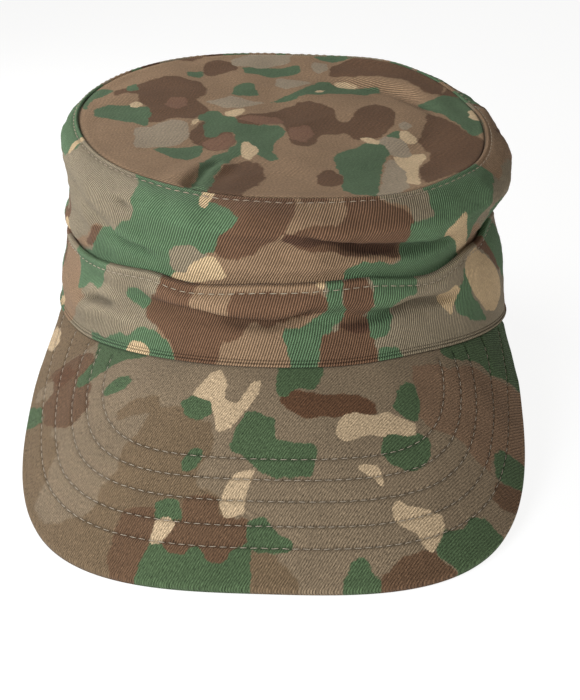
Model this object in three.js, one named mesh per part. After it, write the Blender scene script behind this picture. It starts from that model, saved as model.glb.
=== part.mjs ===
// A soft military field cap with a turned-up band and a stiff, stitched peak, standing by itself.
// It rests on the back of its rim and on the front edge of its peak, so the peak holds the front of
// the rim up. Millimetres, +Z up, the front towards -Y and the wearer's left towards +X.
import * as THREE from "three";

// The rim is the oval that the head goes into
const RIM_HALF_WIDTH = 94;
const RIM_HALF_DEPTH = 98;
const RIM_FRONT_HEIGHT = 53;
const RIM_SLOPE = 0.2705;
const RIM_SETTLE = 6;

// The top seam is the oval where the crown's side meets its top panel
const SEAM_HEIGHT = 106.75;
const SEAM_BACK_RISE = 1.75;
const SEAM_LEAN = 2;
const TOP_SAG = 3.5;

// Cloth, and the small gap between one piece and the next
const BAND_THICK = 2.4;
const CROWN_THICK = 1.6;
const TOP_THICK = 1.6;
const PEAK_THICK = 3;
const GAP = 0.35;

// How far each piece stands inside the rim's oval
const BAND_TAPER = 6.3;
const WALL_LIFT = 0.6;

// The peak in plan is a blunt oval, and its two ends run back along the rim
const PEAK_HALF_WIDTH = 93.5;
const PEAK_CENTRE_Y = -60;
const PEAK_REACH = 97;
const PEAK_BLUNTNESS = 2.9;
const PEAK_HALF_ANGLE = 74;
const PEAK_CORNER = 0.8;
const PEAK_END = 0.97;
const PEAK_ROOT = 4;
const PEAK_CROWNING = 3.5;
const PEAK_TOUCH_Y = -125;
const PEAK_EDGE_HEIGHT = 1.8;

// Steps of each mesh
const STEPS_AROUND = 64;
const BAND_ROWS = 8;
const WALL_ROWS = 7;
const TOP_RINGS = [1, 0.94, 0.84, 0.68, 0.5, 0.32, 0.14];
const PEAK_STEPS_ACROSS = 40;
const PEAK_ROWS = 8;

// Height of the band above the rim. Azimuth is in degrees from the front, positive to +X
const BAND_HEIGHTS = [
  { azimuth: -180, height: 42 },
  { azimuth: -130, height: 41 },
  { azimuth: -90, height: 39.5 },
  { azimuth: -66, height: 34 },
  { azimuth: -48, height: 30 },
  { azimuth: -31, height: 28.5 },
  { azimuth: -13, height: 27 },
  { azimuth: 0, height: 27.5 },
  { azimuth: 20, height: 28.8 },
  { azimuth: 37, height: 27 },
  { azimuth: 60, height: 35 },
  { azimuth: 78, height: 43 },
  { azimuth: 130, height: 41 },
  { azimuth: 180, height: 42 },
];

// The rounded shoulder under the top seam: how far below the seam, and how far inside the rim's oval
const SHOULDER = [
  { drop: 8, inset: 6.9 },
  { drop: 4.2, inset: 7.7 },
  { drop: 1.8, inset: 9.8 },
  { drop: 0.5, inset: 12.8 },
  { drop: 0, inset: 16.5 },
];

// Where the top seam stands further out, or higher, than its oval
const SEAM_SWELLS = [
  { name: "front right", azimuth: 56, spread: 26, out: 3, up: -1.6 },
  { name: "back right", azimuth: 128, spread: 34, out: 2, up: 1.1 },
  { name: "back left", azimuth: -132, spread: 36, out: 2.4, up: 1.8 },
];

// Folds of the side. Course is 0 at the rim, 1 at the band's upper edge and 2 at the top seam;
// lean is the course gained per degree, bow the course gained at one spread from the middle,
// and push is outwards
const SIDE_FOLDS = [
  { name: "band valley", azimuth: 2, spread: 40, course: 0.5, width: 0.13, lean: 0, bow: 0.14, push: -3.6 },
  { name: "band roll", azimuth: 2, spread: 40, course: 0.8, width: 0.16, lean: 0, bow: 0.08, push: 2.2 },
  { name: "left ridge", azimuth: -58, spread: 20, course: 0.4, width: 0.17, lean: -0.006, bow: 0, push: 2 },
  { name: "front valley", azimuth: 14, spread: 26, course: 1.43, width: 0.17, lean: 0.002, bow: 0, push: -4 },
  { name: "front roll", azimuth: 6, spread: 40, course: 1.76, width: 0.15, lean: 0, bow: 0, push: 1.8 },
  { name: "front spill", azimuth: 8, spread: 36, course: 1.16, width: 0.13, lean: 0, bow: 0, push: 1.6 },
  { name: "left slant", azimuth: -46, spread: 17, course: 1.42, width: 0.12, lean: -0.014, bow: 0, push: -2.6 },
  { name: "left pinch", azimuth: -84, spread: 20, course: 1.53, width: 0.14, lean: 0, bow: 0, push: -3.2 },
  { name: "left swell", azimuth: -84, spread: 22, course: 1.12, width: 0.16, lean: 0, bow: 0, push: 1.4 },
  { name: "right pinch", azimuth: 72, spread: 22, course: 1.02, width: 0.22, lean: 0, bow: 0, push: -3.4 },
  { name: "right swell", azimuth: 64, spread: 26, course: 1.7, width: 0.2, lean: 0, bow: 0, push: 2 },
  { name: "back right buckle", azimuth: 132, spread: 24, course: 1.4, width: 0.17, lean: 0.006, bow: 0, push: -3.2 },
  { name: "back left buckle", azimuth: -136, spread: 26, course: 1.5, width: 0.15, lean: 0.006, bow: 0, push: -3 },
  { name: "back roll", azimuth: 178, spread: 34, course: 1.25, width: 0.2, lean: 0, bow: 0, push: 1.6 },
];

// Folds of the top panel: middle, direction in degrees from +X, half-length, half-width and height
const TOP_FOLDS = [
  { name: "front left valley", x: -22, y: -57, turn: 70, long: 22, wide: 5, rise: -2.4 },
  { name: "front left ridge", x: -32, y: -58, turn: 68, long: 20, wide: 6, rise: 1.6 },
  { name: "far right valley", x: 38, y: 42, turn: -28, long: 36, wide: 8, rise: -2 },
  { name: "right valley", x: 50, y: -22, turn: 60, long: 24, wide: 8, rise: -1.4 },
];

const radians = THREE.MathUtils.degToRad;
const lerp = THREE.MathUtils.lerp;
const bell = (x) => Math.exp(-x * x);

function ease(x) {
  return THREE.MathUtils.smoothstep(x, 0, 1);
}

// Signed difference of two azimuths in degrees, between -180 and 180
function turnBetween(a, b) {
  return THREE.MathUtils.euclideanModulo(a - b + 180, 360) - 180;
}

// The rim's height, worked out from how far back the point lies: a slope that settles flat at the back
function rimHeight(azimuth) {
  const y = -RIM_HALF_DEPTH * Math.cos(radians(azimuth));
  const slope = RIM_FRONT_HEIGHT - RIM_SLOPE * (y + RIM_HALF_DEPTH);
  return Math.max(0, slope - RIM_SETTLE * ease(y / (0.8 * RIM_HALF_DEPTH)));
}

function bandHeight(azimuth) {
  const next = BAND_HEIGHTS.findIndex((row) => row.azimuth >= azimuth);
  if (next <= 0) return BAND_HEIGHTS[0].height;
  const [low, high] = [BAND_HEIGHTS[next - 1], BAND_HEIGHTS[next]];
  const share = (azimuth - low.azimuth) / (high.azimuth - low.azimuth);
  return lerp(low.height, high.height, ease(share));
}

function seamSwell(azimuth, key) {
  return SEAM_SWELLS.reduce((sum, swell) => {
    return sum + swell[key] * bell(turnBetween(azimuth, swell.azimuth) / swell.spread);
  }, 0);
}

function seamHeight(azimuth) {
  const a = radians(azimuth);
  const level = SEAM_HEIGHT - SEAM_BACK_RISE * Math.cos(a) - SEAM_LEAN * Math.sin(a);
  return level + seamSwell(azimuth, "up");
}

function sideFold(azimuth, course) {
  return SIDE_FOLDS.reduce((sum, fold) => {
    const turn = turnBetween(azimuth, fold.azimuth);
    const off = turn / fold.spread;
    const middle = fold.course + fold.lean * turn + fold.bow * off * off;
    return sum + fold.push * bell(off) * bell((course - middle) / fold.width);
  }, 0);
}

// A point on the rim's oval, moved in by inset, at height z
function ovalPoint(azimuth, inset, z) {
  const a = radians(azimuth);
  return new THREE.Vector3(
    (RIM_HALF_WIDTH - inset) * Math.sin(a),
    -(RIM_HALF_DEPTH - inset) * Math.cos(a),
    z,
  );
}

function courseHeight(azimuth, course) {
  const rim = rimHeight(azimuth);
  const edge = rim + bandHeight(azimuth);
  if (course <= 1) return lerp(rim, edge, course);
  return lerp(edge, seamHeight(azimuth), course - 1);
}

// The folds die out at the rim, which the peak and the floor hold in shape
function bandPoint(azimuth, course, depth) {
  const push = sideFold(azimuth, course) * ease(course / 0.3);
  return ovalPoint(azimuth, BAND_TAPER * course + depth - push, courseHeight(azimuth, course));
}

// Outer face of the crown's side: behind the band up to course 1, then free up to the shoulder
function wallPoint(azimuth, course) {
  const behindBand = BAND_THICK + GAP;
  if (course <= 1) {
    const point = bandPoint(azimuth, course, behindBand);
    point.z += WALL_LIFT * Math.max(0, 1 - 4 * course);
    return point;
  }
  const upper = SHOULDER[0].inset - seamSwell(azimuth, "out");
  const inset = lerp(BAND_TAPER + behindBand, upper, ease((course - 1) / 0.6));
  return ovalPoint(azimuth, inset - sideFold(azimuth, course), courseHeight(azimuth, course));
}

function shoulderPoint(azimuth, row) {
  const z = seamHeight(azimuth) - row.drop;
  const edge = rimHeight(azimuth) + bandHeight(azimuth);
  const course = 1 + (z - edge) / (seamHeight(azimuth) - edge);
  const fold = (sideFold(azimuth, course) * row.drop) / SHOULDER[0].drop;
  return ovalPoint(azimuth, row.inset - seamSwell(azimuth, "out") - fold, z);
}

const azimuths = Array.from({ length: STEPS_AROUND }, (_, i) => -180 + (360 * i) / STEPS_AROUND);

function meshFrom(name, positions, faces, material) {
  const geometry = new THREE.BufferGeometry();
  geometry.setAttribute(
    "position",
    new THREE.Float32BufferAttribute(positions.flatMap((p) => p.toArray()), 3),
  );
  geometry.setIndex(faces);
  geometry.computeVertexNormals();
  const mesh = new THREE.Mesh(geometry, material);
  mesh.name = name;
  return mesh;
}

// Two triangles for each cell between row upon row of points; closed joins each row's end to its start
function gridFaces(start, rows, columns, closed, flipped) {
  const faces = [];
  const cells = closed ? columns : columns - 1;
  for (let r = 0; r < rows - 1; r++) {
    for (let c = 0; c < cells; c++) {
      const a = start + r * columns + c;
      const b = start + r * columns + ((c + 1) % columns);
      const [d, e] = [a + columns, b + columns];
      faces.push(...(flipped ? [a, d, b, b, d, e] : [a, b, d, b, e, d]));
    }
  }
  return faces;
}

// Unit normals of a grid of points, from the points' neighbours
function gridNormals(grid, closed) {
  const columns = grid[0].length;
  return grid.map((row, r) =>
    row.map((_, c) => {
      const before = closed ? (c + columns - 1) % columns : Math.max(c - 1, 0);
      const after = closed ? (c + 1) % columns : Math.min(c + 1, columns - 1);
      const along = row[after].clone().sub(row[before]);
      const up = grid[Math.min(r + 1, grid.length - 1)][c].clone().sub(grid[Math.max(r - 1, 0)][c]);
      return along.cross(up).normalize();
    }),
  );
}

// A closed wall between two grids of rings
function ringSolid(name, outer, inner, material) {
  const [rows, columns] = [outer.length, outer[0].length];
  const innerStart = rows * columns;
  const faces = [
    ...gridFaces(0, rows, columns, true, false),
    ...gridFaces(innerStart, rows, columns, true, true),
  ];
  for (const [row, flipped] of [[0, true], [rows - 1, false]]) {
    for (let c = 0; c < columns; c++) {
      const a = row * columns + c;
      const b = row * columns + ((c + 1) % columns);
      const [d, e] = [a + innerStart, b + innerStart];
      faces.push(...(flipped ? [a, d, b, b, d, e] : [a, b, d, b, e, d]));
    }
  }
  return meshFrom(name, [...outer.flat(), ...inner.flat()], faces, material);
}

// A closed plate between an upper and a lower open grid
function plateSolid(name, upper, lower, material) {
  const [rows, columns] = [upper.length, upper[0].length];
  const lowerStart = rows * columns;
  const faces = [
    ...gridFaces(0, rows, columns, false, false),
    ...gridFaces(lowerStart, rows, columns, false, true),
  ];
  const border = [];
  for (let c = 0; c < columns; c++) border.push(c);
  for (let r = 1; r < rows; r++) border.push(r * columns + columns - 1);
  for (let c = columns - 2; c >= 0; c--) border.push((rows - 1) * columns + c);
  for (let r = rows - 2; r > 0; r--) border.push(r * columns);
  border.forEach((a, i) => {
    const b = border[(i + 1) % border.length];
    const [d, e] = [a + lowerStart, b + lowerStart];
    faces.push(a, d, b, b, d, e);
  });
  return meshFrom(name, [...upper.flat(), ...lower.flat()], faces, material);
}

function cloth(colour) {
  return new THREE.MeshStandardMaterial({ color: colour, roughness: 0.9, metalness: 0 });
}

// The band: a turned-up strip of doubled cloth round the lower part of the side
function makeBand() {
  const courses = Array.from({ length: BAND_ROWS + 1 }, (_, i) => i / BAND_ROWS);
  const outer = courses.map((course) => azimuths.map((a) => bandPoint(a, course, 0)));
  const inner = courses.map((course) => azimuths.map((a) => bandPoint(a, course, BAND_THICK)));
  return ringSolid("band", outer, inner, cloth(0x7c6c5a));
}

// The crown's side: one tube of cloth from the rim, behind the band, over the shoulder to the top seam
function makeCrownSide() {
  const outer = [];
  for (let i = 0; i <= BAND_ROWS; i++) {
    outer.push(azimuths.map((a) => wallPoint(a, i / BAND_ROWS)));
  }
  for (let i = 1; i <= WALL_ROWS; i++) {
    outer.push(
      azimuths.map((a) => {
        const edge = rimHeight(a) + bandHeight(a);
        const last = 1 - SHOULDER[0].drop / (seamHeight(a) - edge);
        return i < WALL_ROWS ? wallPoint(a, 1 + (last * i) / WALL_ROWS) : shoulderPoint(a, SHOULDER[0]);
      }),
    );
  }
  for (const row of SHOULDER.slice(1)) outer.push(azimuths.map((a) => shoulderPoint(a, row)));
  const normals = gridNormals(outer, true);
  const inner = outer.map((ring, r) =>
    ring.map((p, c) => {
      const q = p.clone().addScaledVector(normals[r][c], -CROWN_THICK);
      if (r === 0) q.z = p.z;
      return q;
    }),
  );
  return ringSolid("crown_side", outer, inner, cloth(0x6e5c48));
}

// Height of the top panel over the plan point, which lies at the given share of the seam's oval
function topHeight(x, y, azimuth, share) {
  const sag = TOP_SAG * (1 - share * share);
  const folds = TOP_FOLDS.reduce((sum, fold) => {
    const [c, s] = [Math.cos(radians(fold.turn)), Math.sin(radians(fold.turn))];
    const [dx, dy] = [x - fold.x, y - fold.y];
    const [along, across] = [dx * c + dy * s, dy * c - dx * s];
    return sum + fold.rise * bell(along / fold.long) * bell(across / fold.wide);
  }, 0);
  const level = lerp(SEAM_HEIGHT, seamHeight(azimuth), share);
  return level - sag + folds * ease((1 - share) / 0.12) - 0.4;
}

// The top panel: an oval of cloth that sags a little inside its seam
function makeCrownTop() {
  const inset = SHOULDER[SHOULDER.length - 1].inset + GAP;
  const rings = TOP_RINGS.map((share) =>
    azimuths.map((a) => {
      const p = ovalPoint(a, inset - seamSwell(a, "out"), 0).multiplyScalar(share);
      p.z = topHeight(p.x, p.y, a, share);
      return p;
    }),
  );
  const middle = new THREE.Vector3(0, 0, topHeight(0, 0, 0, 0));
  const lowered = (p) => p.clone().setZ(p.z - TOP_THICK);
  const upper = [...rings.flat(), middle];
  const points = [...upper, ...upper.map(lowered)];
  const [rows, columns, below] = [rings.length, azimuths.length, upper.length];
  const faces = [
    ...gridFaces(0, rows, columns, true, false),
    ...gridFaces(below, rows, columns, true, true),
  ];
  const last = (rows - 1) * columns;
  for (let c = 0; c < columns; c++) {
    const next = (c + 1) % columns;
    faces.push(last + c, last + next, below - 1);
    faces.push(below + last + next, below + last + c, 2 * below - 1);
    faces.push(c, below + c, next, next, below + c, below + next);
  }
  return meshFrom("crown_top", points, faces, cloth(0x75604b));
}

// The peak's outer edge in plan, from one end (-1) to the other (1)
function peakEdge(t) {
  const side = Math.sign(t);
  const u = Math.abs(t);
  const end = ovalPoint(PEAK_HALF_ANGLE, 0, 0);
  if (u > PEAK_CORNER) {
    const share = (u - PEAK_CORNER) / (1 - PEAK_CORNER);
    return new THREE.Vector2(side * lerp(PEAK_HALF_WIDTH, end.x, share), lerp(PEAK_CENTRE_Y, end.y, share));
  }
  const a = ((u / PEAK_CORNER) * Math.PI) / 2;
  const power = 2 / PEAK_BLUNTNESS;
  return new THREE.Vector2(
    side * PEAK_HALF_WIDTH * Math.sin(a) ** power,
    PEAK_CENTRE_Y - PEAK_REACH * Math.max(0, Math.cos(a)) ** power,
  );
}

// The front of the edge lies on the floor, and the sides climb to the rim
function peakEdgeHeight(y) {
  const end = ovalPoint(PEAK_HALF_ANGLE, 0, 0);
  const climb = rimHeight(PEAK_HALF_ANGLE) - GAP - PEAK_EDGE_HEIGHT;
  const rise = (climb * (y - PEAK_TOUCH_Y)) / (end.y - PEAK_TOUCH_Y);
  const blend = 5;
  return PEAK_EDGE_HEIGHT + (rise + Math.hypot(rise, blend)) / 2 - blend * 0.06;
}

// A point on the peak's upper face: t runs from end to end, and share from the rim to the outer edge
function peakPoint(t, share) {
  const azimuth = t * PEAK_HALF_ANGLE;
  const root = ovalPoint(azimuth, 0, rimHeight(azimuth) - GAP);
  if (share < 0) return ovalPoint(azimuth, PEAK_ROOT, root.z);
  const edge = peakEdge(t);
  const edgeZ = peakEdgeHeight(edge.y);
  const crowning = PEAK_CROWNING * 4 * share * (1 - share) * Math.cos((t * Math.PI) / 2);
  return new THREE.Vector3(
    lerp(root.x, edge.x, share),
    lerp(root.y, edge.y, share),
    lerp(root.z, edgeZ, share) + crowning,
  );
}

// The peak: a stiff cloth-covered board whose root lies under the band
function makePeak() {
  const shares = [-1, ...Array.from({ length: PEAK_ROWS + 1 }, (_, i) => i / PEAK_ROWS)];
  const steps = Array.from(
    { length: PEAK_STEPS_ACROSS + 1 },
    (_, i) => PEAK_END * ((2 * i) / PEAK_STEPS_ACROSS - 1),
  );
  const upper = shares.map((share) => steps.map((t) => peakPoint(t, share))).reverse();
  const normals = gridNormals(upper, false);
  const rootRow = shares.length - 1;
  const lower = upper.map((row, r) =>
    row.map((p, c) => {
      const down = r >= rootRow - 1 ? new THREE.Vector3(0, 0, 1) : normals[r][c];
      const q = p.clone().addScaledVector(down, -PEAK_THICK);
      q.z = Math.max(0, q.z);
      return q;
    }),
  );
  return plateSolid("peak", upper, lower, cloth(0x857664));
}

const cap = new THREE.Group();
cap.add(makeBand(), makeCrownSide(), makeCrownTop(), makePeak());

// The part's origin is the middle of its box's bottom face
const box = new THREE.Box3().setFromObject(cap, true);
const middle = box.getCenter(new THREE.Vector3());
const part = new THREE.Group();
cap.position.set(-middle.x, -middle.y, -box.min.z);
part.add(cap);

export default part;
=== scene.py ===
# A soft military field cap of printed camouflage twill. It stands by itself, on the front edge of its
# peak and on the back of its rim, as it would on a table.
import math
import random

import bpy
import numpy as np
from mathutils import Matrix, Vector


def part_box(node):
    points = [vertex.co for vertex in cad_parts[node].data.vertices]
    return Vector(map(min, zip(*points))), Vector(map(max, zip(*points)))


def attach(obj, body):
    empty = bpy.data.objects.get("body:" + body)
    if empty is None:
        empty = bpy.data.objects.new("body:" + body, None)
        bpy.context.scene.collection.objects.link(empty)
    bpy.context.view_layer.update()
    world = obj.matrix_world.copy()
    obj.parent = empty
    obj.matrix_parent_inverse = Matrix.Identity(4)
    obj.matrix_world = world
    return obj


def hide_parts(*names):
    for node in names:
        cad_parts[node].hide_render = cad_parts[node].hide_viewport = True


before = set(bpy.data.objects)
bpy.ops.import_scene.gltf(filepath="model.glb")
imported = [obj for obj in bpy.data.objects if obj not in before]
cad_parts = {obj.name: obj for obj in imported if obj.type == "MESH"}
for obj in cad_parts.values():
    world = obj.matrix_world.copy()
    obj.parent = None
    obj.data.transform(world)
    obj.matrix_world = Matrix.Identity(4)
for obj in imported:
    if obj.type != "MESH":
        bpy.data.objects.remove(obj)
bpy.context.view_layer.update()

# The camera looks down at the cap from in front, a little to the cap's own left.
# Its place is in millimetres from the middle of the rim's oval, which lies forward of the cap's box.
RIM_HALF_DEPTH = 98
FRAME_HEIGHT = 700
FOCUS_IN_PIXELS = 1100
SENSOR = 36
rim_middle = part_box("band")[1].y * 1000 - RIM_HALF_DEPTH
camera_turn = math.radians(2.4)
camera_pitch = math.radians(30.5)
camera_data = bpy.data.cameras.new("camera")
camera_data.sensor_width = SENSOR
camera_data.lens = SENSOR * FOCUS_IN_PIXELS / FRAME_HEIGHT
camera_data.clip_start = 0.01
camera_data.clip_end = 20
camera = bpy.data.objects.new("camera", camera_data)
bpy.context.scene.collection.objects.link(camera)
camera_aside = 2.5
camera_away = 422
camera_height = 249
camera.location = (
    (camera_aside * math.cos(camera_turn) + camera_away * math.sin(camera_turn)) / 1000,
    (camera_aside * math.sin(camera_turn) - camera_away * math.cos(camera_turn) + rim_middle) / 1000,
    camera_height / 1000,
)
camera.rotation_euler = (math.pi / 2 - camera_pitch, 0, camera_turn)
bpy.context.scene.camera = camera

# The crown's side is one tube of cotton twill. It runs from the rim, up behind the band, over a soft
# shoulder to the top seam, where it is turned in and sewn to the top panel with a row of stitches.
# Each panel is cut from cloth that was printed with camouflage in six inks, and its folds set by wear.
RIM_HALF_WIDTH = 94
RIM_FRONT_HEIGHT = 53
RIM_SLOPE = 0.2705
RIM_SETTLE = 6
SEAM_HEIGHT = 106.75
SEAM_BACK_RISE = 1.75
SEAM_LEAN = 2
BAND_THICK = 2.4
BAND_TAPER = 6.3
GAP = 0.35
SIDE_THICK = 1.6
WALL_INSET = 6.9
SHOULDER_REACH = 9.6
SHOULDER_DROP = 8

# Height of the band above the rim, by azimuth in degrees from the front, positive to +X
BAND_HEIGHTS = (
    (-180, 42), (-130, 40), (-110, 37.5), (-92, 33.1), (-78, 31), (-66, 30.2), (-48, 30.4),
    (-31, 30.4), (-18, 27.2), (0, 28.8), (20, 30), (37, 27), (60, 35), (78, 43), (130, 41), (180, 42),
)


# A short table: the names of its columns, and then a row for each fold, patch or lamp
def table(columns, *rows):
    return [dict(zip(columns.split(), row)) for row in rows]


# Where the top seam stands further out, or higher, than its oval
SEAM_SWELLS = table("azimuth spread out up", (56, 26, 3, -1.6), (128, 34, 2, 1.1), (-132, 36, 2.4, 1.8))

# Where wear has drawn the seam in over the shoulder, or let it out. Cut is how much taller the side's
# panel is there than elsewhere, which moves its seam over the print
SEAM_DRIFTS = table(
    "azimuth spread in up cut",
    (-28, 24, 1.4, 0.8, -1.2),
    (8, 22, 2.2, 1.2, 2.2),
    (34, 14, 0.2, 0.2, 3.2),
    (52, 14, 1.8, 1.2, 4),
    (112, 14, 0, -1.6, 0),
    (150, 16, 0, 2, 0),
    (180, 60, -5, -0.8, 0),
    (-102, 24, -3.8, -0.9, 0),
)

# The rim hangs a little lower across the front, and is hitched up at the cap's own right
RIM_HANG = {"from": -68, "fade_in": 22, "to": 38, "fade_out": 26, "down": 2}
RIM_HITCH = {"azimuth": -84, "spread": 20, "up": 4}

# Where the cloth slumps out over the band's lip at the left, above the lip by so many millimetres
SLUMP = {"azimuth": -92, "spread": 26, "above": 4.6, "tall": 4.5, "push": 3.2, "from_lip": 2.5}

# Folds of the side. Course is 0 at the rim, 1 at the band's upper edge and 2 at the top seam; lean and
# bow bend a fold up or down round the cap, and push is outwards
SIDE_FOLDS = table(
    "azimuth spread course width lean bow push",
    (2, 40, 0.54, 0.12, 0, 0.14, -3.6),
    (2, 40, 0.8, 0.16, 0, 0.08, 2.2),
    (-58, 20, 0.4, 0.17, -0.006, 0, 2),
    (20, 24, 1.45, 0.16, 0, 0, -3.4),
    (6, 40, 1.8, 0.15, 0, 0, 1.8),
    (8, 36, 1.2, 0.15, 0, 0, 1.8),
    (-46, 17, 1.42, 0.12, -0.014, 0, -2.6),
    (-84, 20, 1.55, 0.14, 0, 0, -1.6),
    (-96, 24, 1.62, 0.25, 0, 0, -1.8),
    (-84, 22, 1.12, 0.16, 0, 0, 1.4),
    (72, 22, 1.02, 0.22, 0, 0, -3.4),
    (64, 26, 1.7, 0.2, 0, 0, 2),
    (132, 24, 1.4, 0.17, 0.006, 0, -3.2),
    (-136, 26, 1.5, 0.15, 0.006, 0, -3),
    (178, 34, 1.25, 0.2, 0, 0, 1.6),
)


def ease(x):
    x = np.clip(x, 0, 1)
    return x * x * (3 - 2 * x)


def bell(x):
    return np.exp(-x * x)


def turn_between(a, b):
    return np.mod(a - b + 180, 360) - 180


def rim_dip(azimuth):
    hang = ease((azimuth - RIM_HANG["from"]) / RIM_HANG["fade_in"])
    hang = hang * ease((RIM_HANG["to"] - azimuth) / RIM_HANG["fade_out"])
    hitch = bell((azimuth - RIM_HITCH["azimuth"]) / RIM_HITCH["spread"])
    return RIM_HANG["down"] * hang - RIM_HITCH["up"] * hitch


def rim_height(azimuth):
    y = -RIM_HALF_DEPTH * np.cos(np.radians(azimuth))
    slope = RIM_FRONT_HEIGHT - RIM_SLOPE * (y + RIM_HALF_DEPTH) - rim_dip(azimuth)
    return np.maximum(0, slope - RIM_SETTLE * ease(y / (0.8 * RIM_HALF_DEPTH)))


def band_height(azimuth):
    turns = np.array([row[0] for row in BAND_HEIGHTS], float)
    heights = np.array([row[1] for row in BAND_HEIGHTS], float)
    low = np.clip(np.searchsorted(turns, azimuth) - 1, 0, len(turns) - 2)
    share = ease((azimuth - turns[low]) / (turns[low + 1] - turns[low]))
    return heights[low] + (heights[low + 1] - heights[low]) * share


# Height of the band's upper edge, where the side comes into sight
def edge_height(azimuth):
    return rim_height(azimuth) + band_height(azimuth)


def along_seam(rows, azimuth, way):
    return sum(row[way] * bell(turn_between(azimuth, row["azimuth"]) / row["spread"]) for row in rows)


def seam_swell(azimuth, way):
    return along_seam(SEAM_SWELLS, azimuth, way)


def seam_drift(azimuth, way):
    return along_seam(SEAM_DRIFTS, azimuth, way)


def seam_height(azimuth):
    a = np.radians(azimuth)
    level = SEAM_HEIGHT - SEAM_BACK_RISE * np.cos(a) - SEAM_LEAN * np.sin(a)
    return level + seam_swell(azimuth, "up")


def side_fold(azimuth, course):
    push = 0
    for fold in SIDE_FOLDS:
        turn = turn_between(azimuth, fold["azimuth"])
        off = turn / fold["spread"]
        middle = fold["course"] + fold["lean"] * turn + fold["bow"] * off * off
        push = push + fold["push"] * bell(off) * bell((course - middle) / fold["width"])
    return push


def oval_point(azimuth, inset, z):
    a = np.radians(azimuth)
    x = (RIM_HALF_WIDTH - inset) * np.sin(a)
    y = -(RIM_HALF_DEPTH - inset) * np.cos(a)
    return np.stack(np.broadcast_arrays(x, y, z), -1)


def course_height(azimuth, course):
    rim = rim_height(azimuth)
    edge = edge_height(azimuth)
    above = edge + (seam_height(azimuth) - edge) * (course - 1)
    return np.where(course <= 1, rim + (edge - rim) * course, above)


def length_along(line):
    return np.concatenate([[0], np.cumsum(np.linalg.norm(np.diff(line, axis=0), axis=1))])


def points_at(stops, along, line):
    return np.stack([np.interp(stops, along, line[:, k]) for k in range(3)], -1)


def unit(vectors):
    return vectors / np.maximum(np.linalg.norm(vectors, axis=-1, keepdims=True), 1e-9)


# Millimetres along the rim from its front, which is how far along the cut cloth a point lies
rim_turns = np.linspace(-180, 180, 3601)
rim_along = length_along(oval_point(rim_turns, 0, 0))
rim_round = rim_along[-1]
rim_along = rim_along - rim_along[len(rim_turns) // 2]


def along_rim(azimuth):
    return np.interp(azimuth, rim_turns, rim_along)


# Further, in millimetres, than any two points of the cap lie apart
FAR = 1e9


# Creases finer than the main folds. Each runs from left to right along a line on the flat panel, in
# millimetres, and the cloth above the line rolls out over the valley below it. Soft is the valley's
# width, and fade is the share of the line over which each end dies out
def crease(x, y, creases):
    push = np.zeros(np.broadcast(x, y).shape)
    for row in creases:
        line = row["line"]
        lengths = [math.dist(line[i], line[i + 1]) for i in range(len(line) - 1)]
        nearest = np.full(push.shape, FAR)
        side = np.zeros(push.shape)
        share = np.zeros(push.shape)
        for i, length in enumerate(lengths):
            (x0, y0), (x1, y1) = line[i], line[i + 1]
            t = np.clip(((x - x0) * (x1 - x0) + (y - y0) * (y1 - y0)) / length**2, 0, 1)
            dx, dy = x - x0 - t * (x1 - x0), y - y0 - t * (y1 - y0)
            away = np.hypot(dx, dy)
            near = away < nearest
            cross = (x1 - x0) * dy - (y1 - y0) * dx
            nearest = np.where(near, away, nearest)
            side = np.where(near, np.sign(cross), side)
            share = np.where(near, (sum(lengths[:i]) + t * length) / sum(lengths), share)
        off = nearest * side
        fade = ease(share / row["fade"]) * ease((1 - share) / row["fade"])
        valley = -row["valley"] * bell((off + 0.5 * row["soft"]) / row["soft"])
        roll = row["roll"] * bell((off - row["roll_width"]) / row["roll_width"])
        push = push + fade * (valley + roll)
    return push


# Slight unevenness that worn cloth has all over, from a few long waves that cross. Each wave is a
# little shorter and lower than the one before, and together they crest at about the given height
WAVES = 14
WAVE_SHRINK = 0.82
WAVE_CREST = 2.2


def unevenness(x, y, seed, longest, height):
    chance = random.Random(seed)
    total = 0
    for i in range(WAVES):
        wave = longest * WAVE_SHRINK**i
        way = chance.uniform(0, math.pi)
        phase = chance.uniform(0, 2 * math.pi)
        forward = x * math.cos(way) + y * math.sin(way)
        total = total + wave / longest * np.sin(2 * math.pi / wave * forward + phase)
    return total * height / WAVE_CREST


# Narrow ridges and grooves beside an edge or a seam, at so many millimetres from it
def ridges(distance, rows):
    return sum(row["rise"] * bell((distance - row["at"]) / row["width"]) for row in rows)


# How far a rounded edge has fallen away, as a share of its whole fall
def edge_fall(distance, reach):
    away = 1 - np.clip(distance / reach, 0, 1)
    return 1 - np.sqrt(np.clip(1 - away**2, 0, 1))


def unit_normals(grid, around):
    if around:
        along = np.roll(grid, -1, axis=1) - np.roll(grid, 1, axis=1)
    else:
        along = np.gradient(grid, axis=1)
    return unit(np.cross(along, np.gradient(grid, axis=0)))


# The print. Each ink is laid down in patches, whose corners lie on the flat panel in millimetres, and
# how far a point lies outside the nearest patch is kept on the mesh for the cloth's material
INKS = ("khaki", "brown", "dark", "russet", "green", "clear", "sand")
PATCH_MARGIN = 8
CORNER_CUT = 0.13


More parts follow.
